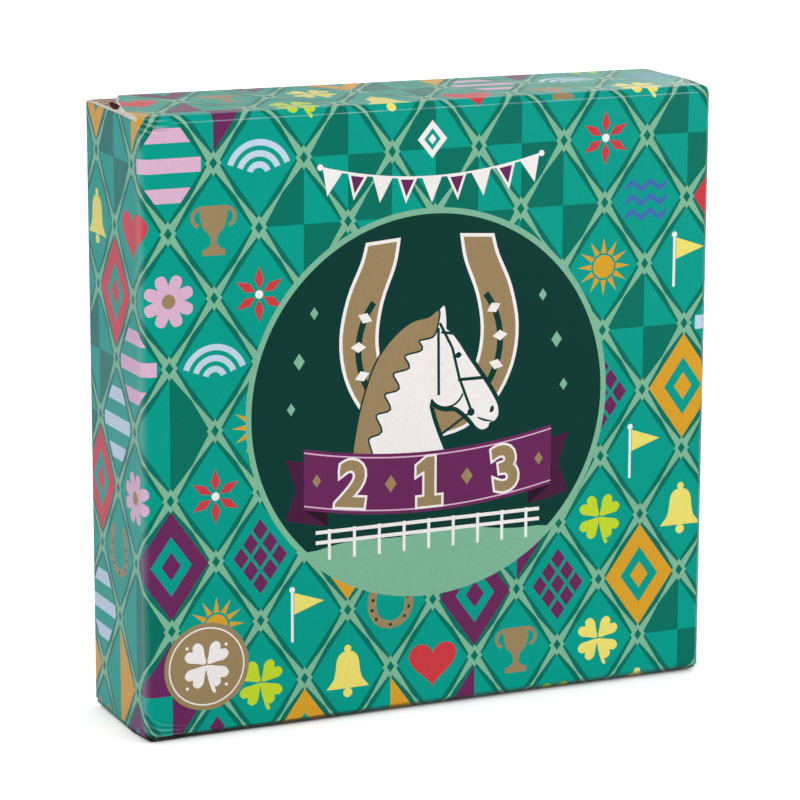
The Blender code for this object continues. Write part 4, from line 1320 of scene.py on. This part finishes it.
def make_lid():
    """The printed lid, folded from its flat artwork."""
    blank = Blank("lid", LID_FOLD, LID_SCORE, 1)
    layers = []
    rhombus_pattern(layers, blank.a + blank.end, blank.b + blank.end, plain=(BUNTING_BOX,))
    bunting(layers)
    roundel(layers)
    round_label(layers)
    torn_corner(layers, blank)
    # A small nick in the print of the left wall
    nick = blank.a + 40.0
    layers.append(("white", [(-nick, 0.2), (4.0 - nick, -0.6), (4.0 - nick, -1.0)]))
    guides = blank.guides(9.0)
    # Finer mesh where the left corners are creased
    for left, bottom, wide, high, pitch in ((-blank.a - 6, -blank.b - 5, 42, 18, 0.4),
                                            (-blank.a - 6, blank.b - 10, 22, 16, 0.5)):
        for v in np.arange(bottom, bottom + high, pitch):
            guides.append(((left, v), (left + wide, v)))
        for u in np.arange(left, left + wide, 1.4):
            guides.append(((u, bottom), (u, bottom + high)))
    inset = [(u - 1.1, blank.b + along_wall(blank, depth)) for u, depth in TEAR]
    guides += list(zip(inset, inset[1:]))
    finishes = (print_finish("laminated_print"), KRAFT, EDGE, torn_finish("torn_board"))
    # The last argument paints sheen, highlights and shade into the print's colours
    lid = folded_shell("lid_shell", blank, layers, "green", guides, finishes,
                       (lid_wear, lid_bruise), lid_crush, lid_rub)
    stand_for(lid, "lid", "lid")


def make_tray():
    """The base tray, printed with the bare lattice outside and white inside."""
    blank = Blank("base_tray", BASE_FOLD, BASE_SCORE, -1)
    layers = []
    rhombus_pattern(layers, blank.a + blank.end, blank.b + blank.end,
                    kinds=(faceted("green"), halved("green")))
    finishes = (print_finish("tray_print"), WHITE, EDGE)
    tray = folded_shell("tray_shell", blank, layers, "green", blank.guides(12.0), finishes)
    stand_for(tray, "base_tray", "base")


# Printed flat pieces, which face the front

def flat_piece(name, node_name, outline, layers, base_ink, finishes, wave, skin=None):
    """A card or board with artwork on its front, in the place of a CAD node.

    wave is how far it bends, and skin the thickness of a piece that only
    covers the front of the node.
    """
    centre, size = middle_and_size(node_name)
    reach = size / 2
    guides = [((u, -reach[2]), (u, reach[2])) for u in np.arange(-reach[0] + 6, reach[0], 12.0)]
    guides += [((-reach[0], v), (reach[0], v)) for v in np.arange(-reach[2] + 6, reach[2], 12.0)]
    flat, triangles, inks = triangulated(outline, layers, guides)
    u, v = flat[:, 0], flat[:, 1]
    bend = wave * np.sin(u / reach[0] * 1.4 + 0.4) * np.cos(v / reach[2] * 1.1)
    outer = np.stack([u, -reach[1] + bend, v], axis=-1)
    inner = outer.copy()
    inner[:, 1] = outer[:, 1] + skin if skin else reach[1] + bend
    normal = np.zeros_like(outer)
    normal[:, 1] = -1.0
    return shell_from(name, outer, inner, normal, triangles, inks, base_ink, centre, finishes)


def stand_for(piece, node_name, body):
    """Hides a CAD node and puts the piece that takes its place on its body."""
    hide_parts(node_name)
    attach(piece, body)


def rounded(width, height, radius, steps=5):
    """A rectangle with round corners."""
    w, h = width / 2 - radius, height / 2 - radius
    line = []
    for x, y, start in ((w, h, 0), (-w, h, 90), (-w, -h, 180), (w, -h, 270)):
        line += arc(x, y, radius, start, start + 90, steps)
    return line


def box_of(node_name):
    """Width, thickness and height of a node in millimetres."""
    low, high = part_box(node_name)
    return [(b - a) / MM for a, b in zip(low, high)]


def pile(name, node_name, count, spread, finish, seed):
    """A pile of thin sheets along Y, each a little out of line."""
    random = np.random.default_rng(seed)
    centre, size = middle_and_size(node_name)
    reach = size / 2
    data = bmesh.new()
    step = 2 * reach[1] / count
    for i in range(1, count):
        shift = random.uniform(-spread, spread, 2)
        turn = random.uniform(-spread, spread) / reach[0] * 0.6
        y0 = -reach[1] + i * step
        y1 = y0 + step * 0.90
        rim = rounded(2 * reach[0] - 2 * spread, 2 * reach[2] - 2 * spread, 0.8, 2)
        rim = [(x * math.cos(turn) - z * math.sin(turn) + shift[0] * 0.5,
                x * math.sin(turn) + z * math.cos(turn) + shift[1] * 0.5) for x, z in rim]
        rings = [[data.verts.new((Vector((x, y, z)) + Vector(centre)) * MM) for x, z in rim]
                 for y in (y0, y1)]
        for a in range(len(rim)):
            b = (a + 1) % len(rim)
            data.faces.new((rings[0][a], rings[1][a], rings[1][b], rings[0][b]))
        data.faces.new(rings[0])
        data.faces.new(rings[1][::-1])
    bmesh.ops.recalc_face_normals(data, faces=data.faces)
    mesh = mesh_from(name, data)
    mesh.materials.append(finish)
    made = in_scene(name, mesh)
    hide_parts(node_name)
    return made


NOTE_INKS = (("mint", "green", "5"), ("rose", "purple", "10"), ("straw", "bronze", "20"),
             ("ice", "blue", "50"))


def note_art(paper, ink, value, width, height):
    """A play note: frame, rosette of lozenges, values and a horseshoe."""
    layers = [(ink, rounded(width - 5, height - 5, 2.5)),
              (paper, rounded(width - 6.4, height - 6.4, 1.9)),
              (ink, rounded(width - 8.4, height - 8.4, 1.2)),
              (paper, rounded(width - 9.0, height - 9.0, 1.0))]
    for i in range(24):
        layers.append((ink, placed(diamond(11.5, 0, 7.5, 1.25), -23.0, 0, 1.0, 15 * i)))
    layers += [(paper, disc(-23.0, 0, 9.6, 36)),
               (ink, disc(-23.0, 0, 8.9, 36)),
               (paper, placed(horseshoe()[0][1], -23.0, 0, 0.66))]
    for i in range(17):
        u = -width / 2 + 10 + i * (width - 20) / 16
        for v in (height / 2 - 7.2, -height / 2 + 7.2):
            layers.append((ink, diamond(u, v, 1.5, 1.0)))
    print_figures(layers, value, 41.0, 0.0, 18.0, ink, paper, weight=0.5)
    for x, y in ((-width / 2 + 13, height / 2 - 13.5), (-width / 2 + 13, -height / 2 + 13.5)):
        print_figures(layers, value, x, y, 6.0, ink, paper, weight=0.15)
    return layers


def make_notes():
    """Four banded bundles of play notes."""
    for index, (paper, ink, value) in enumerate(NOTE_INKS):
        number = index + 1
        node_name = "notes_%d" % number
        tint = linear(INKS[paper])
        shade = mix_of(tint, linear("#8A8578"), 0.5)
        finish = sheet_edge_finish(node_name + "_paper", tint, shade, 1100.0)
        bundle = pile("note_pile_%d" % number, node_name, 22, 0.55, finish, 40 + index)
        width, _, height = box_of(node_name)
        art = note_art(paper, ink, value, width, height)
        top = flat_piece("note_face_%d" % number, node_name,
                         rounded(width - 1.0, height - 1.0, 0.8), art, paper,
                         (NOTE_PRINT, finish, finish), 0.0, 0.12)
        for piece in (bundle, top):
            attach(piece, "note_bundle_%d" % number)


def slip_art(width, height):
    """A betting slip: a frame, ruled lines and boxes to tick."""
    layers = [("green", rounded(width - 6, height - 6, 2.0)),
              ("white", rounded(width - 7, height - 7, 1.6)),
              ("green", placed(rounded(width - 9, 13.0, 1.5), 0, height / 2 - 20.0)),
              ("white", placed(horseshoe()[0][1], 0, height / 2 - 20.3, 0.52))]
    for row in range(6):
        y = height / 2 - 34.0 - row * 10.2
        layers += [("green", bar((-width / 2 + 7, y - 3.4), (width / 2 - 22, y - 3.4), 0.35)),
                   ("green", placed(rounded(6.4, 6.4, 0.8), width / 2 - 12.5, y - 0.6)),
                   ("white", placed(rounded(5.6, 5.6, 0.5), width / 2 - 12.5, y - 0.6))]
        print_figures(layers, str(row + 1), -width / 2 + 9.5, y, 4.0, "green", "white", weight=0.1)
    return layers


def make_slips():
    """Two pads of betting slips."""
    paper = linear("#F6F4EC")
    finish = sheet_edge_finish("slip_paper", paper, mix_of(paper, linear("#8D897E"), 0.5), 1400.0)
    for number in (1, 2):
        node_name = "slip_sheets_%d" % number
        pad = pile("slip_pile_%d" % number, node_name, 16, 0.16, finish, 80 + number)
        width, _, height = box_of(node_name)
        top = flat_piece("slip_face_%d" % number, node_name,
                         rounded(width - 0.6, height - 0.6, 0.5), slip_art(width, height),
                         "white", (NOTE_PRINT, finish, finish), 0.0, 0.1)
        for piece in (pad, top):
            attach(piece, "slip_pad_%d" % number)


def card_art(number, width, height):
    """A race card: the race's number, and a lane with odds for each runner."""
    inks = ("green", "purple", "bronze", "red", "blue", "teal", "mustard", "moss")
    lead = inks[number - 1]
    layers = [(lead, rounded(width - 5, height - 5, 3.0)),
              ("cream", rounded(width - 6.6, height - 6.6, 2.3))]
    top = height / 2
    head, left = top - 22.5, -width / 2
    layers += [(lead, placed(rounded(width - 10, 34, 2.0), 0, head)),
               ("cream", disc(left + 24, head, 12.0, 48))]
    print_figures(layers, str(number), left + 24, head, 13.0, lead, "cream", weight=0.6)
    for i in range(6):
        layers += [("cream", diamond(-14.0 + i * 13.0, head, 4.4, 9.0)),
                   (lead, diamond(-14.0 + i * 13.0, head, 2.2, 4.6))]
    odds = ("2:1", "3:1", "4:1", "5:1", "6:1", "8:1", "10:1", "12:1")
    for row in range(8):
        y = top - 54.0 - row * 18.6
        ground = "cream" if row % 2 else "mint"
        if ground == "mint":
            layers.append((ground, placed(rounded(width - 12, 17.4, 1.0), 0, y)))
        silk = inks[(row + number) % 8]
        layers.append((silk, diamond(left + 16, y, 6.0, 7.6)))
        print_figures(layers, str(row + 1), left + 16, y, 5.6, "white", silk, weight=0.3)
        layers.append((lead, bar((left + 28, y - 4.5), (width / 2 - 40, y - 4.5), 0.4)))
        print_figures(layers, odds[(row * 3 + number) % 8], width / 2 - 22, y, 6.4, lead, ground,
                      weight=0.15)
    return layers


def make_race_cards():
    """Eight race cards in a stack."""
    for number in range(1, 9):
        node_name = "race_card_%d" % number
        width, _, height = box_of(node_name)
        card = flat_piece("card_%d" % number, node_name, rounded(width, height, 4.0),
                          card_art(number, width, height), "cream",
                          (CARD_PRINT, CARD_BACK, CARD_BACK), 0.06)
        stand_for(card, node_name, "race_cards")


def board_art(width, height):
    """The odds board: a grid of races and runners on the dark ground."""
    layers = [("sage", rounded(width - 6, height - 6, 4.0)),
              ("deep", rounded(width - 8, height - 8, 3.2))]
    layers.append(("purple", placed(rounded(width - 16, 26, 2.5), 0, height / 2 - 21)))
    for i in range(9):
        layers += [("bronze", diamond(-80 + i * 20, height / 2 - 21, 6.0, 8.5)),
                   ("purple", diamond(-80 + i * 20, height / 2 - 21, 3.0, 4.4))]
    cell_w, cell_h = (width - 34) / 8, (height - 62) / 8
    inks = ("teal", "mustard", "red", "pink", "sky", "lime", "blue", "white")
    columns = [-width / 2 + 30 + col * (cell_w - 0.6) + cell_w / 2 - 5 for col in range(8)]
    for row in range(8):
        y = height / 2 - 46 - row * cell_h
        layers.append((inks[row], diamond(-width / 2 + 15, y, 5.4, 7.2)))
        print_figures(layers, str(row + 1), -width / 2 + 15, y, 5.4, "deep", inks[row], weight=0.25)
        for col, x in enumerate(columns):
            tone = "moss" if (row + col) % 2 else "green"
            layers.append((tone, placed(rounded(cell_w - 2.4, cell_h - 2.4, 1.2), x, y)))
    for col, x in enumerate(columns):
        print_figures(layers, str(col + 1), x, -height / 2 + 9.6, 5.0, "sage", "deep", weight=0.2)
    return layers


def make_odds_board():
    """The folded odds board."""
    for node_name in ("odds_leaf_front", "odds_leaf_back"):
        width, _, height = box_of(node_name)
        art = board_art(width, height) if node_name.endswith("front") else [
            ("sage", rounded(width - 8, height - 8, 4.0)),
            ("green", rounded(width - 9, height - 9, 3.4))]
        leaf = flat_piece(node_name + "_board", node_name, rounded(width, height, 4.0), art, "deep",
                          (CARD_PRINT, GREEN_PAPER, GREY), 0.05)
        stand_for(leaf, node_name, "odds_board")


def make_guide_cover():
    """The guide's cover: a sheet printed outside and folded round the pages."""
    centre, (width, thick, height) = middle_and_size("guide_cover")
    outer_radius = thick / 2
    spine = -width / 2 + outer_radius
    front = width / 2 - spine
    turn = math.pi * outer_radius
    total = 2 * front + turn
    layers = []
    outline = [(-total / 2, -height / 2), (total / 2, -height / 2),
               (total / 2, height / 2), (-total / 2, height / 2)]
    offset = total / 2 - front / 2
    rhombus_pattern(layers, total / 2, height / 2, 0.8,
                    kinds=(faceted("green"), halved("green"), faceted("green"),
                           nested("purple", "sage")))
    for x, radius in ((offset, 62.0), (-offset, 30.0)):
        layers += [("sage", disc(x, 0.0, radius, 96)),
                   ("deep", disc(x, 0.0, radius - 2.0, 96))]
    horseshoe_frame(layers, offset, 6.0, 4.2)
    for x, y, size in ((-offset, 0, 1.7), (offset, 6.0, 1.5)):
        for ink, shape in clover():
            layers.append((ink, placed(shape, x, y, size)))
    layers.append(("purple", placed(rounded(86, 15, 2.0), offset, -44.0)))
    for i in range(-3, 4):
        layers.append(("bronze", diamond(offset + i * 11.0, -44.0, 3.2, 4.6)))
    arcs = np.linspace(0, turn, 9) - turn / 2
    guides = [((float(u), -height / 2), (float(u), height / 2)) for u in arcs]
    guides += [((-total / 2, v), (total / 2, v))
               for v in np.arange(-height / 2 + 7, height / 2, 14.0)]
    flat, triangles, inks = triangulated(outline, layers, guides)
    s, v = flat[:, 0], flat[:, 1]

    def sheet(radius):
        angle = unit((turn / 2 - s) / turn) * math.pi
        rear = np.where(s < -turn / 2, -turn / 2 - s, -radius * np.sin(angle))
        x = spine + np.where(s > turn / 2, s - turn / 2, rear)
        return np.stack([x, -radius * np.cos(angle), v], axis=-1)

    outer, inner = sheet(outer_radius), sheet(outer_radius - 0.4)
    normal = outer - inner
    normal /= np.linalg.norm(normal, axis=-1, keepdims=True)
    cover = shell_from("guide_cover_sheet", outer, inner, normal, triangles, inks, "green", centre,
                       (CARD_PRINT, PAGE, PAGE))
    stand_for(cover, "guide_cover", "guide")


# The rosette, in millimetres
ROSETTE_X, ROSETTE_Z = -80.4, 195.6
TAIL_START, TAIL_END = 9.0, 78.0
TAIL_NOTCH = 8.5
TAIL_ROWS = 24
TAIL_WIDTH = 25.0
TAIL_THICKNESS = 0.3
RING_ROWS = 7
POINTS_PER_PLEAT = 8


def ring_sheet(name, finish, centre, y, inner, outer, pleats, depth_in, depth_out, thickness):
    """A ring of knife pleats, closed round; returns the piece and its cloth's area."""
    count = pleats * POINTS_PER_PLEAT
    data = bmesh.new()
    rows = []
    for r in range(RING_ROWS):
        t = r / (RING_ROWS - 1)
        radius = inner + (outer - inner) * t
        depth = depth_in + (depth_out - depth_in) * t
        row = []
        for i in range(count):
            phase = i / POINTS_PER_PLEAT
            within = phase - math.floor(phase)
            lean = within - 0.16 * math.sin(math.tau * within)
            angle = math.tau * (math.floor(phase) + lean) / pleats + 0.05 * t
            lift = depth * (1.15 * (within if within < 0.72 else (1 - within) * 0.72 / 0.28) - 0.42)
            lift += 0.10 * depth * math.sin(3.0 * angle + 0.7)
            rim = radius + 0.35 * t * math.sin(7 * angle) + 0.25 * t * math.sin(math.tau * within)
            place = Vector((centre[0] + rim * math.cos(angle), y - lift,
                            centre[2] + rim * math.sin(angle)))
            row.append(data.verts.new(place * MM))
        rows.append(row)
    for a, b in zip(rows, rows[1:]):
        for i in range(count):
            j = (i + 1) % count
            data.faces.new((a[i], b[i], b[j], a[j]))
    bmesh.ops.recalc_face_normals(data, faces=data.faces)
    area = sum(face.calc_area() for face in data.faces)
    return cloth_object(name, mesh_from(name, data), thickness, finish), area


def cloth_object(name, mesh, thickness, finish):
    """A smooth sheet given a thickness, with its modifier applied."""
    mesh.materials.append(finish)
    mesh.polygons.foreach_set("use_smooth", np.ones(len(mesh.polygons), dtype=bool))
    obj = in_scene(name, mesh)
    solid = obj.modifiers.new("cloth", "SOLIDIFY")
    solid.thickness = thickness * MM
    solid.offset = 0.0
    bpy.context.view_layer.update()
    made = bpy.data.meshes.new_from_object(obj.evaluated_get(bpy.context.evaluated_depsgraph_get()))
    obj.modifiers.clear()
    obj.data = made
    return obj


def ribbon_tail(name, node_name, lean, finish):
    """A hanging ribbon with a swallow-tail end; returns the piece, its area and length."""
    top = (ROSETTE_X, middle_and_size(node_name)[0][1], ROSETTE_Z)
    length = TAIL_END - TAIL_START
    data = bmesh.new()
    rows = []
    for i in range(TAIL_ROWS + 1):
        t = i / TAIL_ROWS
        row = []
        for k in range(5):
            side = (k / 4 - 0.5) * TAIL_WIDTH
            notch = TAIL_NOTCH * (1 - abs(k / 4 - 0.5) * 2) * t
            down = TAIL_START + length * t - notch
            x = side * math.cos(lean) + down * math.sin(lean)
            z = side * math.sin(lean) - down * math.cos(lean)
            wave = 0.09 * math.sin(9 * t + side / TAIL_WIDTH * 2)
            row.append(data.verts.new(Vector((top[0] + x, top[1] + wave, top[2] + z)) * MM))
        rows.append(row)
    for a, b in zip(rows, rows[1:]):
        for k in range(4):
            data.faces.new((a[k], a[k + 1], b[k + 1], b[k]))
    area = sum(face.calc_area() for face in data.faces)
    tail = cloth_object(name, mesh_from(name, data), TAIL_THICKNESS, finish)
    return tail, area, length * MM


def badge_art(radius):
    """The badge: rings, and the first place's number in a wreath of leaves."""
    layers = [("bronze", disc(0, 0, radius, 64)), ("white", disc(0, 0, radius - 2.2, 64)),
              ("purple", disc(0, 0, radius - 2.9, 64))]
    for i in range(22):
        a = 360 * (i + 0.5) / 22
        leaf = smooth([(14.6, 0.0), (16.4, -1.3), (18.4, 0.0), (16.4, 1.3)], 3)
        layers.append(("bronze", placed(leaf, 0, 0, 1.0, a)))
    print_figures(layers, "1", 0.0, 0.0, 17.0, "bronze", "purple", weight=1.1,
                  border=("white", 0.8))
    return layers


def make_rosette():
    """The winner's rosette: pleated rings, tails and a domed badge."""
    centre, _ = middle_and_size("rosette_pleats")
    purple = cloth_finish("satin_purple", "#7C3070", "#4E1944", 900.0, 0.4, 0.38)
    cream = cloth_finish("satin_cream", "#F0E9DA", "#CFC5B0", 900.0, 0.4, 0.38)
    outer, area = ring_sheet("rosette_ring_outer", purple, centre, y=20.7, inner=19.0, outer=39.4,
                             pleats=30, depth_in=0.9, depth_out=3.1, thickness=0.28)
    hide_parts("rosette_pleats")
    inner, area = ring_sheet("rosette_ring_inner", cream, centre, y=18.75, inner=19.0, outer=30.5,
                             pleats=26, depth_in=0.3, depth_out=0.9, thickness=0.22)
    pieces = [outer, inner]
    for number, lean, finish, slot in ((1, -0.19, cream, "ribbon_cream"),
                                       (2, 0.19, purple, "ribbon_purple")):
        node_name = "rosette_tail_%d" % number
        tail, area, length = ribbon_tail("rosette_ribbon_%d" % number, node_name, lean, finish)
        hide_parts(node_name)
        pieces.append(tail)
    middle, (wide, depth, _) = middle_and_size("rosette_badge")
    radius = wide / 2
    levels = np.arange(-radius + 1.5, radius, 2.0)
    guides = [((-radius, v), (radius, v)) for v in levels]
    guides += [((u, -radius), (u, radius)) for u in levels]
    flat, triangles, inks = triangulated(disc(0, 0, radius, 72), badge_art(radius), guides)
    u, v = flat[:, 0], flat[:, 1]
    out = unit(np.hypot(u, v) / radius)
    rise = depth * (0.30 * (1 - out ** 8) + 0.70 * (1 - out ** 2.4))
    outer_places = np.stack([u, depth / 2 - np.maximum(rise, 0.25), v], axis=-1)
    inner_places = np.stack([u, np.full_like(u, depth / 2), v], axis=-1)
    slope = depth * (2.4 * out ** 7 + 1.68 * out ** 1.4) / radius
    normal = np.stack([u / radius * slope / np.maximum(out, 1e-6), np.full_like(u, -1.0),
                       v / radius * slope / np.maximum(out, 1e-6)], axis=-1)
    normal /= np.linalg.norm(normal, axis=-1, keepdims=True)
    badge = shell_from("rosette_badge_print", outer_places, inner_places, normal, triangles, inks,
                       "bronze", middle, (CARD_PRINT, GREY, GREY))
    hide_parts("rosette_badge")
    for piece in pieces + [badge]:
        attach(piece, "rosette")


def dress(node_name, finish):
    """Gives a CAD node a material."""
    for slot in frame["nodes"][node_name].material_slots:
        slot.material = finish


KRAFT = board_finish("kraft_inside", "#B08A5E", "#9A7448")
WHITE = board_finish("white_inside", "#F1EFEA", "#DEDAD1")
GREY = board_finish("grey_board", "#A9A69D", "#86837A", 320.0)
EDGE = edge_finish("board_edge", "#EDEAE4", "#BDB4A6")
CARD_PRINT = print_finish("card_print")
NOTE_PRINT = print_finish("note_print")
CARD_BACK = board_finish("card_back", "#EFE9DC", "#DDD5C4", 420.0)
GREEN_PAPER = board_finish("green_paper", "#0F6B5B", "#0A5547", 420.0)
PAGE = sheet_edge_finish("page_paper", linear("#F5F3EC"), linear("#C9C5BA"), 2600.0)
DIVIDER = corrugated_finish("divider_board", "#F0EEE8", "#D9D2C4", "#8E8472")
BAND = sheet_edge_finish("band_paper", linear("#E8DCC3"), linear("#B9A988"), 900.0)
BINDING = cloth_finish("binding_cloth", "#1C7667", "#0D4A40", 520.0)
TAPE = cloth_finish("tape_cloth", "#2B2D31", "#121315", 520.0)
STEEL = steel_finish("steel_wire")
make_lid()
make_tray()
make_notes()
make_slips()
make_race_cards()
make_odds_board()
make_guide_cover()
make_rosette()
for finish, node_names in (
        (DIVIDER, ("divider_upright", "divider_note_1", "divider_note_2", "divider_note_3",
                   "divider_slip")),
        (BAND, ("note_band_1", "note_band_2", "note_band_3", "note_band_4")),
        (GREY, ("slip_backing_1", "slip_backing_2", "rosette_backing")),
        (BINDING, ("slip_binding_1", "slip_binding_2")),
        (TAPE, ("odds_hinge_tape",)),
        (PAGE, ("guide_pages",)),
        (STEEL, ("guide_staple_low", "guide_staple_high", "rosette_pin"))):
    for node_name in node_names:
        dress(node_name, finish)


# Camera, as the photograph's corners give it
CAMERA_PLACE = Vector((-0.60497, -1.30295, 0.44015))
CAMERA_AZIMUTH = math.radians(24.842)
CAMERA_ELEVATION = math.radians(12.466)
CAMERA_ROLL = math.radians(0.2424)
camera_data = bpy.data.cameras.new("camera")
camera_data.lens = 162.2
camera_data.sensor_width = 36.0
camera_data.clip_end = 20.0
camera = in_scene("camera", camera_data)
camera.matrix_world = (Matrix.Translation(CAMERA_PLACE)
                       @ Matrix.Rotation(-CAMERA_AZIMUTH, 4, "Z")
                       @ Matrix.Rotation(math.pi / 2 - CAMERA_ELEVATION, 4, "X")
                       @ Matrix.Rotation(CAMERA_ROLL, 4, "Z"))
bpy.context.scene.camera = camera


# Studio: lamps as (name, place, size in metres, power in watts)
LAMPS = (("key", (-1.90, -1.90, 1.40), 1.7, 56.0),
         ("fill", (0.70, -0.75, 0.40), 0.6, 3.1),
         ("back", (1.45, 1.35, 1.15), 1.2, 11.0))
LAMP_TARGET = Vector((0.0, 0.0, 0.12))
SKY_STRENGTH = 0.40
FLOOR_SIZE = 6.0
FLOOR_LIT, FLOOR_SEEN, FLOOR_GLOW = 0.45, 0.92, 0.62
CONTACT_SHADOW = 0.03


def grey(level):
    """A neutral colour."""
    return (level, level, level, 1.0)


def lamp(name, place, size, power):
    """A soft square lamp that points at the object."""
    data = bpy.data.lights.new(name, "AREA")
    data.size = size
    data.energy = power
    made = in_scene(name, data)
    made.location = place
    made.rotation_euler = (LAMP_TARGET - Vector(place)).to_track_quat("-Z", "Y").to_euler()


def seen_directly(tree):
    """1 for rays from the camera, and for those by way of gloss or glass."""
    paths = node(tree, "ShaderNodeLightPath").outputs
    found = paths["Is Camera Ray"]
    for kind in ("Is Glossy Ray", "Is Transmission Ray"):
        found = maths(tree, "MAXIMUM", found, paths[kind])
    return found


def stage():
    """A plain white floor that keeps the object's shadow."""
    data = bmesh.new()
    bmesh.ops.create_grid(data, x_segments=1, y_segments=1, size=FLOOR_SIZE)
    mesh = mesh_from("floor", data)
    floor = in_scene("floor", mesh)
    made, tree, shader = material("floor_white")
    seen = seen_directly(tree)
    feed(shader, {"Base Color": mixed(tree, "MIX", seen, grey(FLOOR_LIT), grey(FLOOR_SEEN)),
                  "Roughness": 0.9, "Specular IOR Level": 0.0})
    open_sky = node(tree, "ShaderNodeAmbientOcclusion", {"Distance": CONTACT_SHADOW})
    glow = node(tree, "ShaderNodeEmission", {
        "Color": grey(FLOOR_GLOW),
        "Strength": maths(tree, "MULTIPLY", seen, open_sky.outputs["AO"])})
    both = node(tree, "ShaderNodeAddShader",
                {0: shader.outputs["BSDF"], 1: glow.outputs["Emission"]})
    feed(tree.nodes["Material Output"], {"Surface": both.outputs["Shader"]})
    mesh.materials.append(made)


def world():
    """Even white light all round, and a white background for the camera."""
    made = bpy.data.worlds.new("studio")
    made.use_nodes = True
    tree = made.node_tree
    light = tree.nodes["Background"]
    feed(light, {"Color": grey(1.0), "Strength": SKY_STRENGTH})
    backdrop = node(tree, "ShaderNodeBackground", {"Color": grey(1.0), "Strength": 1.0})
    choose = node(tree, "ShaderNodeMixShader", {
        0: seen_directly(tree), 1: light.outputs["Background"],
        2: backdrop.outputs["Background"]})
    feed(tree.nodes["World Output"], {"Surface": choose.outputs["Shader"]})
    bpy.context.scene.world = made


stage()
world()
for settings in LAMPS:
    lamp(*settings)
bpy.context.scene.view_settings.view_transform = "Standard"
